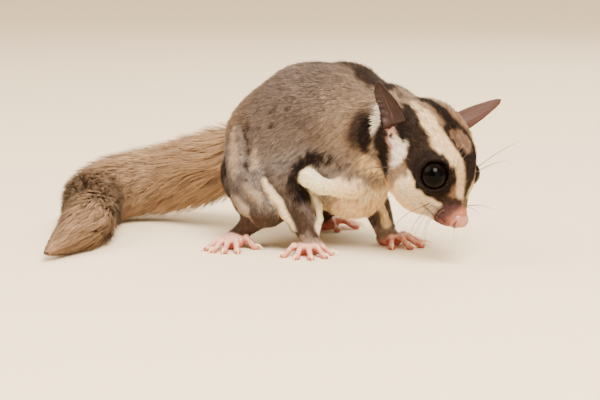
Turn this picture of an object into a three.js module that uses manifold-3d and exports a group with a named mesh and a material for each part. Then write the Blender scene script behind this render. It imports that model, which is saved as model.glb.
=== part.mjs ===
// Sugar glider, adult male, life size, crouching on all fours with an arched back,
// its head lowered and turned a little to its right, the tail laid on the ground.
// Millimetres and degrees. +X forward, +Y the animal's left, +Z up, the ground at Z = 0.

import * as THREE from 'three';
import { mergeVertices } from 'three/addons/utils/BufferGeometryUtils.js';
import Module from 'manifold-3d';

const wasm = await Module();
wasm.setup();

// Driving sizes

const touchGap = 0.3; // between pieces that lie against each other
const groundDepth = 30; // how deep the block reaches that trims what is below the ground

const headPlace = { at: [66, -3, 29.5], pitch: 52.3, yaw: -5.5, roll: -7.3 };
const eyeSize = { radius: 4.7, halfApart: 8.75, gaze: [0.45, 0.85, 0.28] };
const lidSize = { reach: 4.65, thick: 0.6, outward: 1.5 };
const noseSize = { at: [13.0, 0, -5.4], radii: [2.9, 3.5, 3.2] };
const nostrilSize = { radius: 0.5, aside: 1.4 };
const mouthLine = { groove: 0.55, sides: [[1.5, -10.4], [5, -10.5], [8, -10.0], [10.5, -9.4], [12, -9.0]] };

// Whiskers of one side: forward and upward place of the root, then the way to the middle and to the tip
const whisker = {
  root: 0.36, tip: 0.24, sunk: 0.8,
  lines: [
    { from: [8.8, -4.8], middle: [1.2, 8, 1.4], to: [3.5, 15, 1.5] },
    { from: [8.0, -5.8], middle: [1.6, 8.4, -1.2], to: [5, 15, -4] },
    { from: [6.8, -6.8], middle: [2.6, 7.6, -3], to: [8, 12.5, -8] },
    { from: [8.6, -7.2], middle: [3, 5.4, -2.6], to: [9, 8.5, -7] },
    { from: [5.4, -7.8], middle: [0.8, 8.2, -5], to: [4, 13.5, -12] },
    { from: [7.2, -8.4], middle: [3, 4.6, -4.6], to: [9, 6.5, -11] },
    { from: [0.8, 6.2], middle: [-1.2, 4.6, 6.8], to: [-1, 8.5, 13] }, // brow
  ],
};

const earSize = { width: 9.8, thick: 1.0, cup: 3.6, roundAngle: 105 };
const ears = {
  right: { base: [-18.6, -11.3, -2.2], tip: [-34.5, -17.5, 2.6], face: [0.35, -0.8, 0.45] },
  left: { base: [-17.5, 10.6, 0.8], tip: [-19, 24.5, 15], face: [0.34, 0.5, -0.62] },
};

const tailLength = 152;
const tailRadius = { root: 12.5, full: 15.4, end: 10.5, tip: 3 };
const tailTurn = { start: -58, radius: 20, angle: 135 };
const tailCore = 0.48; // the core's radius as a share of the radius out to the tips of the fur
const tailLock = { rows: 9, around: 5, length: 28, overlap: 0.98, thick: 2.0, sway: 0.12 };

const neckLine = { points: [[25, 0, 41], [38, -1, 43], [50, -2.6, 41.5]], radii: [16.5, 15.2, 13] };

// Radii of the upper and the lower part of each limb, from its top down
const limbRadii = {
  fore: { upper: [6.2, 6.4, 5.8], lower: [6.0, 5.6, 4.7, 3.6] },
  hind: { upper: [12, 11.5, 7], lower: [5, 4.6, 3.6, 3.0] },
};

// Folds of the gliding skin on the animal's left: each roll's line and its radii
const glidingRolls = {
  edge: { points: [[0, 20.5, 28], [3.4, 22.5, 24.2], [9.5, 23, 18.9], [13.4, 19.4, 9]], radii: [1.9, 2.3, 2.2, 1.9] },
  middle: { points: [[-7, 21, 27], [-3.7, 23.2, 23.2], [4.6, 24.3, 18.2], [10.5, 21.5, 12]], radii: [2.2, 2.7, 2.7, 2.2] },
  rear: { points: [[-13, 19.5, 24], [-9.7, 22.4, 19.5], [-3.3, 23.6, 14.6], [1.5, 22, 9.4]], radii: [2.6, 3.5, 3.5, 2.6] },
};

const claw = { root: 0.62, tip: 0.3 };

// Steps along and around the larger skins
const skullSteps = [26, 28];
const torsoSteps = [18, 22];

const frontPaw = {
  palm: [4.6, 3.9, 2.7], digitRadius: 1.25, digitReach: [8.6, 9.6, 10.2, 9.4, 7.4],
  spread: [-62, -30, -4, 24, 58], knuckle: 3.1, claw: 3.2,
};
const hindPaw = {
  palm: [6.4, 4.2, 3.0], digitRadius: 1.3, digitReach: [9.2, 10.2, 10.4, 10.0, 6.8],
  spread: [-34, -14, 5, 24, 74], knuckle: 3.2, claw: 3.0,
};

// Body masses, as ellipsoids (centre and half sizes) and as tapering bars (ends and radii)

const torsoShape = {
  soft: 7,
  blobs: [
    { at: [-6.5, 0, 30], size: [20.5, 22, 21.5] }, // rump
    { at: [5.5, 0, 37.5], size: [24.5, 21.5, 26] }, // arch of the back
    { at: [21.5, 0, 42.5], size: [17.5, 16, 21.5] }, // shoulders
    { at: [24, 0, 25], size: [13, 14, 15] }, // chest
  ],
  bars: [-1, 1].flatMap((side) => [
    { from: [23.5, side * 19, 23.5], to: [31, side * 11, 19.5], radii: [3.4, 4.6] }, // fold before the foreleg
    { from: [-10, side * 17, 35], to: [-12, side * 18.5, 22], radii: [3.2, 3.6] }, // crease before the haunch
  ]),
};

const headShape = {
  soft: 4,
  blobs: [
    { at: [-15, 0, -3], size: [13.2, 12.8, 14.4] }, // braincase
    { at: [-4.5, 0, -2.0], size: [10.8, 11.3, 11.8] }, // brow
    { at: [-7, 6.2, -9.5], size: [10, 6.4, 7.6] }, // left cheek
    { at: [-7, -6.2, -9.5], size: [10, 6.4, 7.6] }, // right cheek
    { at: [-6.5, 0, -14], size: [11, 8, 7.4] }, // throat
    { at: [-1.2, 6.6, -0.4], size: [6.4, 5.2, 6.6] }, // rim of the left eye
    { at: [-1.2, -6.6, -0.4], size: [6.4, 5.2, 6.6] }, // rim of the right eye
    { at: [8.6, 2.7, -7.2], size: [4.2, 2.7, 2.7] }, // left upper lip
    { at: [8.6, -2.7, -7.2], size: [4.2, 2.7, 2.7] }, // right upper lip
  ],
  bars: [
    { from: [0, 0, -4.2], to: [11.8, 0, -5.3], radii: [8.8, 3.8] }, // muzzle
    { from: [-2, 0, -12.5], to: [9, 0, -9.6], radii: [5.8, 2.5] }, // lower jaw
  ],
};

// Small helpers

const vec = ([x, y, z]) => new THREE.Vector3(x, y, z);
const degrees = THREE.MathUtils.degToRad;
const lerp = THREE.MathUtils.lerp;

function ellipsoidDistance(p, blob) {
  const x = (p.x - blob.at[0]) / blob.size[0];
  const y = (p.y - blob.at[1]) / blob.size[1];
  const z = (p.z - blob.at[2]) / blob.size[2];
  const reach = Math.hypot(x, y, z);
  const slope = Math.hypot(x / blob.size[0], y / blob.size[1], z / blob.size[2]);
  return slope > 0 ? (reach * (reach - 1)) / slope : -Math.min(...blob.size);
}

function barDistance(p, bar) {
  const start = vec(bar.from);
  const along = vec(bar.to).sub(start);
  const offset = p.clone().sub(start);
  const share = THREE.MathUtils.clamp(offset.dot(along) / along.lengthSq(), 0, 1);
  return offset.addScaledVector(along, -share).length() - lerp(bar.radii[0], bar.radii[1], share);
}

function softMin(a, b, soft) {
  const mix = Math.max(soft - Math.abs(a - b), 0) / soft;
  return Math.min(a, b) - (mix * mix * soft) / 4;
}

function shapeDistance(p, shape) {
  const parts = [
    ...shape.blobs.map((blob) => ellipsoidDistance(p, blob)),
    ...shape.bars.map((bar) => barDistance(p, bar)),
  ];
  return parts.reduce((sum, part) => softMin(sum, part, shape.soft));
}

// Distance from an inner point to the skin of a shape in one direction
function reachOf(shape, from, direction) {
  const step = 0.8;
  const spot = new THREE.Vector3();
  const inside = (far) => shapeDistance(spot.copy(from).addScaledVector(direction, far), shape) < 0;
  let far = 0;
  while (inside(far + step)) {
    far += step;
  }
  let near = far;
  far += step;
  for (let i = 0; i < 12; i += 1) {
    const middle = (near + far) / 2;
    if (inside(middle)) near = middle;
    else far = middle;
  }
  return (near + far) / 2;
}

// Closed surface through rings of equal count, with one point to close each end
function closedRings(rings, first, last) {
  const count = rings[0].length;
  const points = [first, ...rings.flat(), last];
  const faces = [];
  for (let i = 0; i < count; i += 1) {
    const next = (i + 1) % count;
    faces.push(0, 1 + next, 1 + i);
    for (let r = 0; r + 1 < rings.length; r += 1) {
      const low = 1 + r * count;
      const high = low + count;
      faces.push(low + i, low + next, high + next, low + i, high + next, high + i);
    }
    const top = 1 + (rings.length - 1) * count;
    faces.push(top + i, top + next, points.length - 1);
  }
  const geometry = new THREE.BufferGeometry().setFromPoints(points);
  geometry.setIndex(faces);
  return geometry;
}

// Directions across a line: to its left, and up
function acrossFrame(tangent) {
  const up = new THREE.Vector3(0, 0, 1);
  const left = up.clone().cross(tangent).normalize();
  return { left, up: tangent.clone().cross(left).normalize() };
}

// Skin of a shape, as rings round a straight line between two inner points
function skinAround(shape, fromPoint, toPoint, stations, sides) {
  const forward = toPoint.clone().sub(fromPoint).normalize();
  const back = forward.clone().negate();
  const first = fromPoint.clone().addScaledVector(back, reachOf(shape, fromPoint, back));
  const last = toPoint.clone().addScaledVector(forward, reachOf(shape, toPoint, forward));
  const { left, up } = acrossFrame(forward);
  const rings = [];
  for (let i = 1; i < stations; i += 1) {
    const share = (1 - Math.cos((Math.PI * i) / stations)) / 2;
    const centre = first.clone().lerp(last, share);
    const ring = [];
    for (let j = 0; j < sides; j += 1) {
      const turn = (2 * Math.PI * j) / sides;
      const ray = left.clone().multiplyScalar(Math.cos(turn)).addScaledVector(up, Math.sin(turn));
      ring.push(centre.clone().addScaledVector(ray, reachOf(shape, centre, ray)));
    }
    rings.push(ring);
  }
  return closedRings(rings, first, last);
}

// Round-ended tube along a curve; radius is a function of the share of its length
function softTube(curve, radius, stations, sides, squash = 1) {
  const length = curve.getLength();
  const ends = [radius(0), radius(1)];
  const rings = [];
  for (let i = 1; i < stations; i += 1) {
    const share = (1 - Math.cos((Math.PI * i) / stations)) / 2;
    const toStart = Math.min((share * length) / ends[0], 1);
    const toEnd = Math.min(((1 - share) * length) / ends[1], 1);
    const blunt = Math.sqrt(1 - (1 - toStart) ** 2) * Math.sqrt(1 - (1 - toEnd) ** 2);
    const centre = curve.getPointAt(share);
    const { left, up } = acrossFrame(curve.getTangentAt(share));
    const ring = [];
    for (let j = 0; j < sides; j += 1) {
      const turn = (2 * Math.PI * j) / sides;
      const wide = radius(share) * blunt;
      ring.push(centre.clone().addScaledVector(left, wide * Math.cos(turn))
        .addScaledVector(up, wide * squash * Math.sin(turn)));
    }
    rings.push(ring);
  }
  return closedRings(rings, curve.getPointAt(0), curve.getPointAt(1));
}

const curveThrough = (points) => new THREE.CatmullRomCurve3(points.map(vec), false, 'centripetal');

// Joining and cutting

// Positions only, with shared corners merged
function bareOf(geometry) {
  const bare = geometry.clone();
  bare.deleteAttribute('normal');
  bare.deleteAttribute('uv');
  return mergeVertices(bare, 1e-4);
}

function solidOf(geometry) {
  const merged = bareOf(geometry);
  return new wasm.Manifold(new wasm.Mesh({
    numProp: 3,
    vertProperties: new Float32Array(merged.attributes.position.array),
    triVerts: new Uint32Array(merged.index.array),
  }));
}

function geometryOf(solid) {
  const mesh = solid.getMesh();
  const geometry = new THREE.BufferGeometry();
  geometry.setAttribute('position', new THREE.BufferAttribute(new Float32Array(mesh.vertProperties), 3));
  geometry.setIndex(new THREE.BufferAttribute(new Uint32Array(mesh.triVerts), 1));
  return geometry;
}

function largestPiece(solid) {
  const pieces = solid.decompose();
  return pieces.reduce((best, piece) => (piece.volume() > best.volume() ? piece : best));
}

// The same surface moved outwards by the gap that neighbours keep
function grown(geometry, gap = touchGap) {
  const wide = bareOf(geometry);
  wide.computeVertexNormals();
  const { position, normal } = wide.attributes;
  for (let i = 0; i < position.count; i += 1) {
    position.setXYZ(i, position.getX(i) + gap * normal.getX(i),
      position.getY(i) + gap * normal.getY(i), position.getZ(i) + gap * normal.getZ(i));
  }
  return wide;
}

function cutBy(geometry, ...neighbours) {
  const cut = neighbours.reduce((solid, other) => solid.subtract(solidOf(grown(other))), solidOf(geometry));
  return geometryOf(largestPiece(cut));
}

function joined(...geometries) {
  const [first, ...others] = geometries.map(solidOf);
  return geometryOf(others.reduce((solid, other) => solid.add(other), first));
}

function aboveGround(geometry) {
  const block = new THREE.BoxGeometry(400, 400, groundDepth).translate(0, 0, -groundDepth / 2);
  return geometryOf(largestPiece(solidOf(geometry).subtract(solidOf(block))));
}

// Places

function headMatrix() {
  const turn = new THREE.Euler(degrees(headPlace.roll), degrees(headPlace.pitch), degrees(headPlace.yaw), 'ZYX');
  return new THREE.Matrix4().makeRotationFromEuler(turn).setPosition(vec(headPlace.at));
}

const placed = (geometry, matrix) => geometry.clone().applyMatrix4(matrix);

// Head, in its own frame: origin midway between the eyes, +X to the nose

function eyeGeometry(side) {
  return new THREE.IcosahedronGeometry(eyeSize.radius, 3).translate(0, side * eyeSize.halfApart, 0);
}

function lidGeometry(side) {
  const [x, y, z] = eyeSize.gaze;
  const gaze = new THREE.Vector3(x, side * y, z).normalize();
  const centre = new THREE.Vector3(0, side * eyeSize.halfApart, 0).addScaledVector(gaze, lidSize.outward);
  return new THREE.TorusGeometry(lidSize.reach, lidSize.thick, 5, 20).lookAt(gaze).translate(...centre);
}

// Opening of the socket in front of the eyeball, along the gaze
function socketGeometry(side) {
  const [x, y, z] = eyeSize.gaze;
  const gaze = new THREE.Vector3(x, side * y, z).normalize();
  const depth = 9;
  const centre = new THREE.Vector3(0, side * eyeSize.halfApart, 0)
    .addScaledVector(gaze, lidSize.outward + depth / 2);
  const wide = lidSize.reach * 1.25;
  const ring = new THREE.CylinderGeometry(wide, lidSize.reach, depth, 20).rotateX(Math.PI / 2);
  return ring.lookAt(gaze).translate(...centre);
}

// The mouth: a groove on the skin from one corner round under the nose to the other
function mouthGeometry() {
  const onSkin = (side) => mouthLine.sides.map(([x, z]) => {
    const middle = vec([x, 0, z]);
    const reach = reachOf(headShape, middle, vec([0, side, 0]));
    return [x, side * reach, z];
  });
  const [frontX, frontZ] = mouthLine.sides[mouthLine.sides.length - 1];
  const front = frontX - 2 + reachOf(headShape, vec([frontX - 2, 0, frontZ]), vec([1, 0, 0]));
  const line = [...onSkin(-1), [front, 0, frontZ], ...onSkin(1).reverse()];
  return softTube(curveThrough(line), () => mouthLine.groove, 24, 4);
}

function noseGeometry() {
  const pad = new THREE.SphereGeometry(1, 14, 10).scale(...noseSize.radii).translate(...noseSize.at);
  const [x, , z] = noseSize.at;
  const nostril = (side) => softTube(curveThrough([
    [x + 1.2, side * nostrilSize.aside * 0.6, z - 0.7],
    [x + 2.9, side * nostrilSize.aside, z - 0.6],
    [x + 2.1, side * (nostrilSize.aside + 1.2), z - 0.2],
    [x + 0.9, side * (nostrilSize.aside + 2.0), z - 0.6],
  ]), () => nostrilSize.radius, 7, 5);
  return [1, -1].reduce((solid, side) => geometryOf(
    solidOf(solid).subtract(solidOf(nostril(side)))), pad);
}

function whiskerGeometry(line, side) {
  const [x, z] = line.from;
  const middle = vec([x, 0, z]);
  const reach = reachOf(headShape, middle, vec([0, side, 0]));
  const spot = (offset, depth = 0) => [x + offset[0], side * (reach - depth + offset[1]), z + offset[2]];
  const curve = curveThrough([spot([0, 0, 0], whisker.sunk), spot(line.middle), spot(line.to)]);
  return softTube(curve, (share) => lerp(whisker.root, whisker.tip, share), 4, 3);
}

function headGeometry(nose) {
  const skull = solidOf(skinAround(headShape, vec([-18, 0, -5]), vec([8, 0, -6]), ...skullSteps))
    .subtract(solidOf(socketGeometry(1))).subtract(solidOf(socketGeometry(-1)))
    .subtract(solidOf(mouthGeometry()));
  const hairs = [-1, 1].flatMap((side) => whisker.lines.map((line) => whiskerGeometry(line, side)));
  const face = joined(geometryOf(skull), lidGeometry(1), lidGeometry(-1), ...hairs);
  return cutBy(face, nose, eyeGeometry(1), eyeGeometry(-1));
}

// Ear: a leaf bent round its length into a cup, open to its own +X, its length along +Z
function earLeaf(length) {
  const stations = 11;
  const across = 9;
  const rings = [];
  for (let i = 0; i < stations; i += 1) {
    const share = i / stations;
    const width = earSize.width * (0.42 + 0.58 * Math.sin(Math.PI * Math.min(0.18 + share, 1) ** 0.72)) / 2
      * Math.sqrt(1 - share ** 3);
    const cup = earSize.cup * (1 - 0.75 * share);
    const thick = lerp(earSize.thick, 0.62, share);
    const wall = (turn, inset) => new THREE.Vector3(
      -cup * Math.cos(turn) + inset * Math.cos(turn) * 0.9,
      width * Math.sin(turn) * (1 - inset * 0.06), share * length);
    const turns = [...Array(across).keys()].map(
      (j) => degrees(lerp(-earSize.roundAngle, earSize.roundAngle, j / (across - 1)) * 0.82));
    rings.push([...turns.map((turn) => wall(turn, 0)), ...turns.reverse().map((turn) => wall(turn, thick))]);
  }
  const low = rings[0].reduce((sum, p) => sum.add(p), new THREE.Vector3()).divideScalar(rings[0].length);
  return closedRings(rings.map((ring) => ring.reverse()), low, new THREE.Vector3(-0.2, 0, length));
}

function earMatrix(ear) {
  const along = vec(ear.tip).sub(vec(ear.base)).normalize();
  const face = vec(ear.face);
  const x = face.addScaledVector(along, -face.dot(along)).normalize();
  const y = along.clone().cross(x);
  return new THREE.Matrix4().makeBasis(x, y, along).setPosition(vec(ear.base));
}

function earGeometry(ear, head) {
  const length = vec(ear.tip).distanceTo(vec(ear.base));
  return cutBy(placed(earLeaf(length), earMatrix(ear)), head);
}

// Paws, in their own frame: palm at the origin on the ground, digits to +X

function pawDigit(paw, angle, reach) {
  const way = new THREE.Vector3(Math.cos(degrees(angle)), Math.sin(degrees(angle)), 0);
  const root = paw.palm[0] * 0.35;
  const at = (far, high) => way.clone().multiplyScalar(far).setZ(high).toArray();
  const radius = paw.digitRadius;
  const tip = root + reach;
  const finger = softTube(curveThrough([
    at(root, paw.palm[2] * 0.6), at(lerp(root, tip, 0.45), paw.knuckle),
    at(lerp(root, tip, 0.8), radius * 1.5), at(tip, radius * 0.85),
  ]), (share) => radius * (1 - 0.12 * share), 5, 5);
  const nail = softTube(curveThrough([
    at(tip - radius * 0.9, radius * 1.25), at(tip + paw.claw * 0.45, radius * 1.35), at(tip + paw.claw, 0.35),
  ]), (share) => lerp(claw.root, claw.tip, share), 3, 4);
  return joined(finger, nail);
}

function pawGeometry(paw, side) {
  const palm = new THREE.SphereGeometry(1, 10, 6).scale(...paw.palm).translate(0, 0, paw.palm[2] * 0.72);
  const digits = paw.spread.map((angle, i) => pawDigit(paw, side * angle, paw.digitReach[i]));
  return aboveGround(joined(palm, ...digits));
}

// Colours

const finish = {
  coat: { color: 0xa08a73, roughness: 0.9 },
  cream: { color: 0xe6d4b6, roughness: 0.9 },
  dark: { color: 0x54443a, roughness: 0.9 },
  tail: { color: 0xa98f75, roughness: 0.9 },
  ear: { color: 0x7a4d40, roughness: 0.6 },
  skin: { color: 0xe3b2a6, roughness: 0.55 },
  nose: { color: 0xe09a8a, roughness: 0.4 },
  eye: { color: 0x14100e, roughness: 0.05 },
};

function node(name, geometry, look) {
  const clean = bareOf(geometry);
  clean.computeVertexNormals();
  const mesh = new THREE.Mesh(clean, new THREE.MeshStandardMaterial({ ...finish[look], metalness: 0 }));
  mesh.name = name;
  return mesh;
}

// The limbs. Points run from the body down to the wrist or ankle.

const limbs = {
  foreRight: {
    shoulder: [20, -9.5, 36], elbow: [9.5, -18.0, 25.5], wrist: [19, -15.8, 2.6],
    paw: [17.2, -17.3], heading: -38,
  },
  foreLeft: {
    shoulder: [20, 9.5, 36], elbow: [17, 13.8, 24.5], wrist: [28.4, 14, 2.6],
    paw: [29, 14], heading: 8,
  },
  hindRight: {
    hip: [-10, -12, 24], knee: [4, -21, 15], ankle: [-11, -21, 3.2],
    paw: [-9.5, -24], heading: -66,
  },
  hindLeft: {
    hip: [-10, 12, 24], knee: [4, 21, 15], ankle: [-11, 21, 3.2],
    paw: [-9, 24], heading: 58,
  },
};

function tailCurve() {
  const points = [[-18, 0, 32.5], [-38, 1.5, 24.4]];
  const straightEnd = tailTurn.start;
  points.push([straightEnd, 2.5, 18]);
  const steps = 5;
  for (let i = 1; i <= steps; i += 1) {
    const heading = Math.PI + degrees((tailTurn.angle * i) / steps);
    points.push([
      straightEnd + tailTurn.radius * Math.sin(heading),
      2.5 - tailTurn.radius - tailTurn.radius * Math.cos(heading),
      lerp(16.6, 10.4, i / steps),
    ]);
  }
  const [x, y] = points[points.length - 1];
  const heading = Math.PI + degrees(tailTurn.angle);
  const used = curveThrough(points).getLength();
  const left = tailLength - used;
  points.push([x + left * 0.5 * Math.cos(heading), y + left * 0.5 * Math.sin(heading), 8.2]);
  points.push([x + left * Math.cos(heading - 0.2), y + left * Math.sin(heading - 0.2), 3.4]);
  return curveThrough(points);
}

function tailPlainRadius(share) {
  const swell = THREE.MathUtils.smoothstep(share, 0, 0.16);
  const body = lerp(tailRadius.root, tailRadius.full, swell);
  const thin = lerp(body, tailRadius.end, THREE.MathUtils.smoothstep(share, 0.2, 0.85));
  return lerp(thin, tailRadius.tip, THREE.MathUtils.smoothstep(share, 0.8, 1));
}

// One flat, tapering lock that rises from the core and lies back along the tail
function tailLockGeometry(curve, share, turn, size) {
  const reach = (tailLock.length * size) / tailLength;
  const ring = (step) => {
    const spot = Math.min(share + step * reach, 1);
    const tangent = curve.getTangentAt(spot);
    const { left, up } = acrossFrame(tangent);
    const bent = turn + tailLock.sway * step * Math.sin(7 * turn + 40 * share);
    const out = left.clone().multiplyScalar(Math.cos(bent)).addScaledVector(up, Math.sin(bent));
    const across = out.clone().cross(tangent);
    const rise = lerp(tailCore * 0.7, 1, 1 - (1 - step) ** 1.15);
    const thick = (tailLock.thick * size * (1 - 0.7 * step)) / 2;
    const halfSector = (Math.PI * tailPlainRadius(spot) * rise) / tailLock.around;
    const wide = halfSector * tailLock.overlap * (1 - step ** 4);
    const centre = curve.getPointAt(spot).addScaledVector(out, tailPlainRadius(spot) * rise - thick);
    return [[across, -wide], [out, -thick], [across, wide], [out, thick]].map(
      ([way, far]) => centre.clone().addScaledVector(way, far));
  };
  const middleOf = (points) => points.reduce((sum, p) => sum.add(p), new THREE.Vector3())
    .divideScalar(points.length);
  return closedRings([ring(0), ring(0.4), ring(0.75)], middleOf(ring(0)), middleOf(ring(1)));
}

// The whole tail: a core less than half as thick as the fur, with rows of overlapping locks
function tailSolid(curve) {
  let whole = solidOf(softTube(curve, (share) => tailPlainRadius(share) * tailCore, 13, 7));
  for (let row = 0; row < tailLock.rows; row += 1) {
    const share = lerp(0.02, 0.9, row / (tailLock.rows - 1));
    const size = THREE.MathUtils.clamp(tailPlainRadius(share) / tailRadius.full, 0.5, 1);
    for (let i = 0; i < tailLock.around; i += 1) {
      const turn = (2 * Math.PI * (i + (row % 2) / 2)) / tailLock.around;
      whole = whole.add(solidOf(tailLockGeometry(curve, share, turn, size)));
    }
  }
  return whole;
}

// Thin square cuts across the tail, which part it into its lengths
function tailParts(curve, count, others) {
  const slab = (share) => {
    const tangent = curve.getTangentAt(share);
    return new THREE.BoxGeometry(46, 46, touchGap).lookAt(tangent).translate(...curve.getPointAt(share));
  };
  let whole = solidOf(aboveGround(geometryOf(tailSolid(curve))));
  for (const other of others) whole = whole.subtract(solidOf(grown(other)));
  for (let i = 1; i < count; i += 1) whole = whole.subtract(solidOf(slab(i / count)));
  const pieces = whole.decompose();
  const lengths = [...Array(count).keys()].map((i) => {
    const middle = curve.getPointAt((i + 0.5) / count);
    const near = pieces.filter((piece) => piece.volume() > 500).map((piece) => {
      const box = piece.boundingBox();
      const centre = vec(box.min).add(vec(box.max)).divideScalar(2);
      return [centre.distanceTo(middle), piece];
    });
    near.sort((a, b) => a[0] - b[0]);
    return geometryOf(near[0][1]);
  });
  return lengths;
}

function limbTube(points, radii, stations, sides) {
  const curve = curveThrough(points);
  const radius = (share) => {
    const spot = share * (radii.length - 1);
    const low = Math.min(Math.floor(spot), radii.length - 2);
    return lerp(radii[low], radii[low + 1], spot - low);
  };
  return softTube(curve, radius, stations, sides);
}

// Folded gliding skin on one side: rolls that hang from the flank, down and forwards to the wrist
function glidingSkin(side) {
  const rolls = Object.values(glidingRolls).map(({ points, radii }) => limbTube(
    points.map(([x, y, z]) => [x, side * y, z]), radii, 9, 7));
  return joined(...rolls);
}

function build() {
  const body = new THREE.Group();
  const headFrame = headMatrix();

  const nose = noseGeometry();
  const head = headGeometry(nose);
  const headInBody = placed(head, headFrame);
  const headGroup = new THREE.Group();
  headGroup.applyMatrix4(headFrame);
  headGroup.add(node('head', head, 'coat'));
  headGroup.add(node('nose', nose, 'nose'));
  headGroup.add(node('eye_right', eyeGeometry(-1), 'eye'));
  headGroup.add(node('eye_left', eyeGeometry(1), 'eye'));
  headGroup.add(node('ear_right', earGeometry(ears.right, head), 'ear'));
  headGroup.add(node('ear_left', earGeometry(ears.left, head), 'ear'));
  body.add(headGroup);

  const torsoWhole = skinAround(torsoShape, vec([-8, 0, 31]), vec([22, 0, 31]), ...torsoSteps);
  const tail = tailCurve();

  const cutters = [];
  for (const [name, limb] of Object.entries(limbs)) {
    const [pair, side] = name.startsWith('fore') ? ['fore', name.slice(4)] : ['hind', name.slice(4)];
    const sideName = side.toLowerCase();
    const mirror = side === 'Right' ? 1 : -1;
    const isFore = pair === 'fore';
    const pawFrame = new THREE.Matrix4().makeRotationZ(degrees(limb.heading))
      .setPosition(limb.paw[0], limb.paw[1], 0);
    const paw = pawGeometry(isFore ? frontPaw : hindPaw, mirror);
    const pawInBody = placed(paw, pawFrame);
    const pawGroup = new THREE.Group();
    pawGroup.applyMatrix4(pawFrame);
    pawGroup.add(node(`${isFore ? 'hand' : 'foot'}_${sideName}`, paw, 'skin'));
    body.add(pawGroup);

    const top = isFore ? limb.shoulder : limb.hip;
    const middle = isFore ? limb.elbow : limb.knee;
    const low = isFore ? limb.wrist : limb.ankle;
    const radii = limbRadii[pair];
    const upperCentre = top.map((value, i) => (value + middle[i]) / 2);
    const lowerCentre = middle.map((value, i) => (value + low[i]) / 2);
    const upper = limbTube([top, upperCentre, middle], radii.upper, 9, 12);
    const lower = cutBy(limbTube([middle, lowerCentre, low], radii.lower, 10, 10), upper, pawInBody);
    body.add(node(`${isFore ? 'upper_arm' : 'thigh'}_${sideName}`, upper, 'coat'));
    body.add(node(`${isFore ? 'forearm' : 'shank'}_${sideName}`, lower, 'dark'));
    cutters.push(upper, lower, pawInBody);
  }

  const tailNames = ['tail_base', 'tail_middle', 'tail_end', 'tail_tip'];
  const tailPieces = tailParts(tail, tailNames.length, [torsoWhole, ...cutters]);
  const torso = cutBy(torsoWhole, ...cutters);
  const neckTube = limbTube(neckLine.points, neckLine.radii, 8, 13);
  body.add(node('torso', torso, 'coat'));
  body.add(node('neck', cutBy(neckTube, torsoWhole, headInBody, ...cutters.slice(0, 6)), 'coat'));
  tailNames.forEach((name, i) => body.add(node(name, tailPieces[i], 'tail')));
  body.add(node('gliding_skin_right', cutBy(glidingSkin(-1), torsoWhole, ...cutters), 'cream'));
  body.add(node('gliding_skin_left', cutBy(glidingSkin(1), torsoWhole, ...cutters), 'cream'));

  return body;
}

const sugarGlider = new THREE.Group();
const body = build();
const box = new THREE.Box3().setFromObject(body, true);
body.position.set(-(box.min.x + box.max.x) / 2, -(box.min.y + box.max.y) / 2, -box.min.z);
sugarGlider.add(body);

export default sugarGlider;
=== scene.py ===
import math
from functools import partial

import bpy
import numpy as np
import openvdb
from mathutils import Matrix, Vector
from mathutils.kdtree import KDTree


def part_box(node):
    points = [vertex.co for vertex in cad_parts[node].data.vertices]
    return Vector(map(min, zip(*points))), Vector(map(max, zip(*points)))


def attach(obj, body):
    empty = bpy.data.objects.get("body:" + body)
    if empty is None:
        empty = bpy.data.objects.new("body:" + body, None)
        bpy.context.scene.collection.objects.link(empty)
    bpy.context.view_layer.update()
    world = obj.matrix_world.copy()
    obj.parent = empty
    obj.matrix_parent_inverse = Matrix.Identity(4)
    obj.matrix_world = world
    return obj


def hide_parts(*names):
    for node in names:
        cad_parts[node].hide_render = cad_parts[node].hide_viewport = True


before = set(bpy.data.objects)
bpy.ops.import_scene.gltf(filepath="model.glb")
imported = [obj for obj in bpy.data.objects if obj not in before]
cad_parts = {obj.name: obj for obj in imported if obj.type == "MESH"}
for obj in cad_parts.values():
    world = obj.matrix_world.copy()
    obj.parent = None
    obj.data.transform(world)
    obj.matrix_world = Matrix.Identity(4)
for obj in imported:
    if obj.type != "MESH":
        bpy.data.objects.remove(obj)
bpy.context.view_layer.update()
print("frame loaded")

# Sizes are in millimetres in the animal's own frame: +X forwards, +Y to its left, the ground at Z = 0.
# The head has a frame of its own: origin midway between the eyes, +X to the nose, +Z to the forehead.

mm = 0.001
bodyName = "root"
random = np.random.default_rng(23)

headPlace = {"at": (66, -3, 29.5), "pitch": 52.3, "yaw": -5.5, "roll": -7.3}

eyeLook = {
    "radius": 4.7, "halfApart": 9.0, "back": 0.55, "gaze": (0.42, 0.74, 0.52), "opening": 4.65,
    "lids": {-1: 1.5, 1: 0.6},  # height of the lids over the right and the left eye
}


# Small helpers


def vec(*values):
    return np.array(values, float)


def size(vectors):
    return np.sqrt(np.einsum("...i,...i->...", vectors, vectors))


def unit(vectors):
    return vectors / np.maximum(size(vectors), 1e-9)[..., None]


def mix(a, b, share):
    return a + (b - a) * share


def smoothStep(low, high, value):
    t = np.clip((value - low) / (high - low), 0, 1)
    return t * t * (3 - 2 * t)


def turnAbout(axis, degrees):
    return np.array(Matrix.Rotation(math.radians(degrees), 3, axis))


def dot(a, b):
    return np.sum(a * b, axis=-1)


def linear(red, green, blue):
    # A colour as seen on a screen, 0 to 255, turned into scene-linear values
    seen = vec(red, green, blue) / 255
    return np.where(seen < 0.0404, seen / 12.92, ((seen + 0.055) / 1.055) ** 2.4)


def boxCentre(node):
    low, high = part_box(node)
    return np.array((low + high) / 2) / mm


headTurn = np.eye(3)
for axis, angle in (("Z", "yaw"), ("Y", "pitch"), ("X", "roll")):
    headTurn = headTurn @ turnAbout(axis, headPlace[angle])
headAt = vec(*headPlace["at"])
bodyShift = (boxCentre("eye_right") + boxCentre("eye_left")) / 2 - headAt


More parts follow.
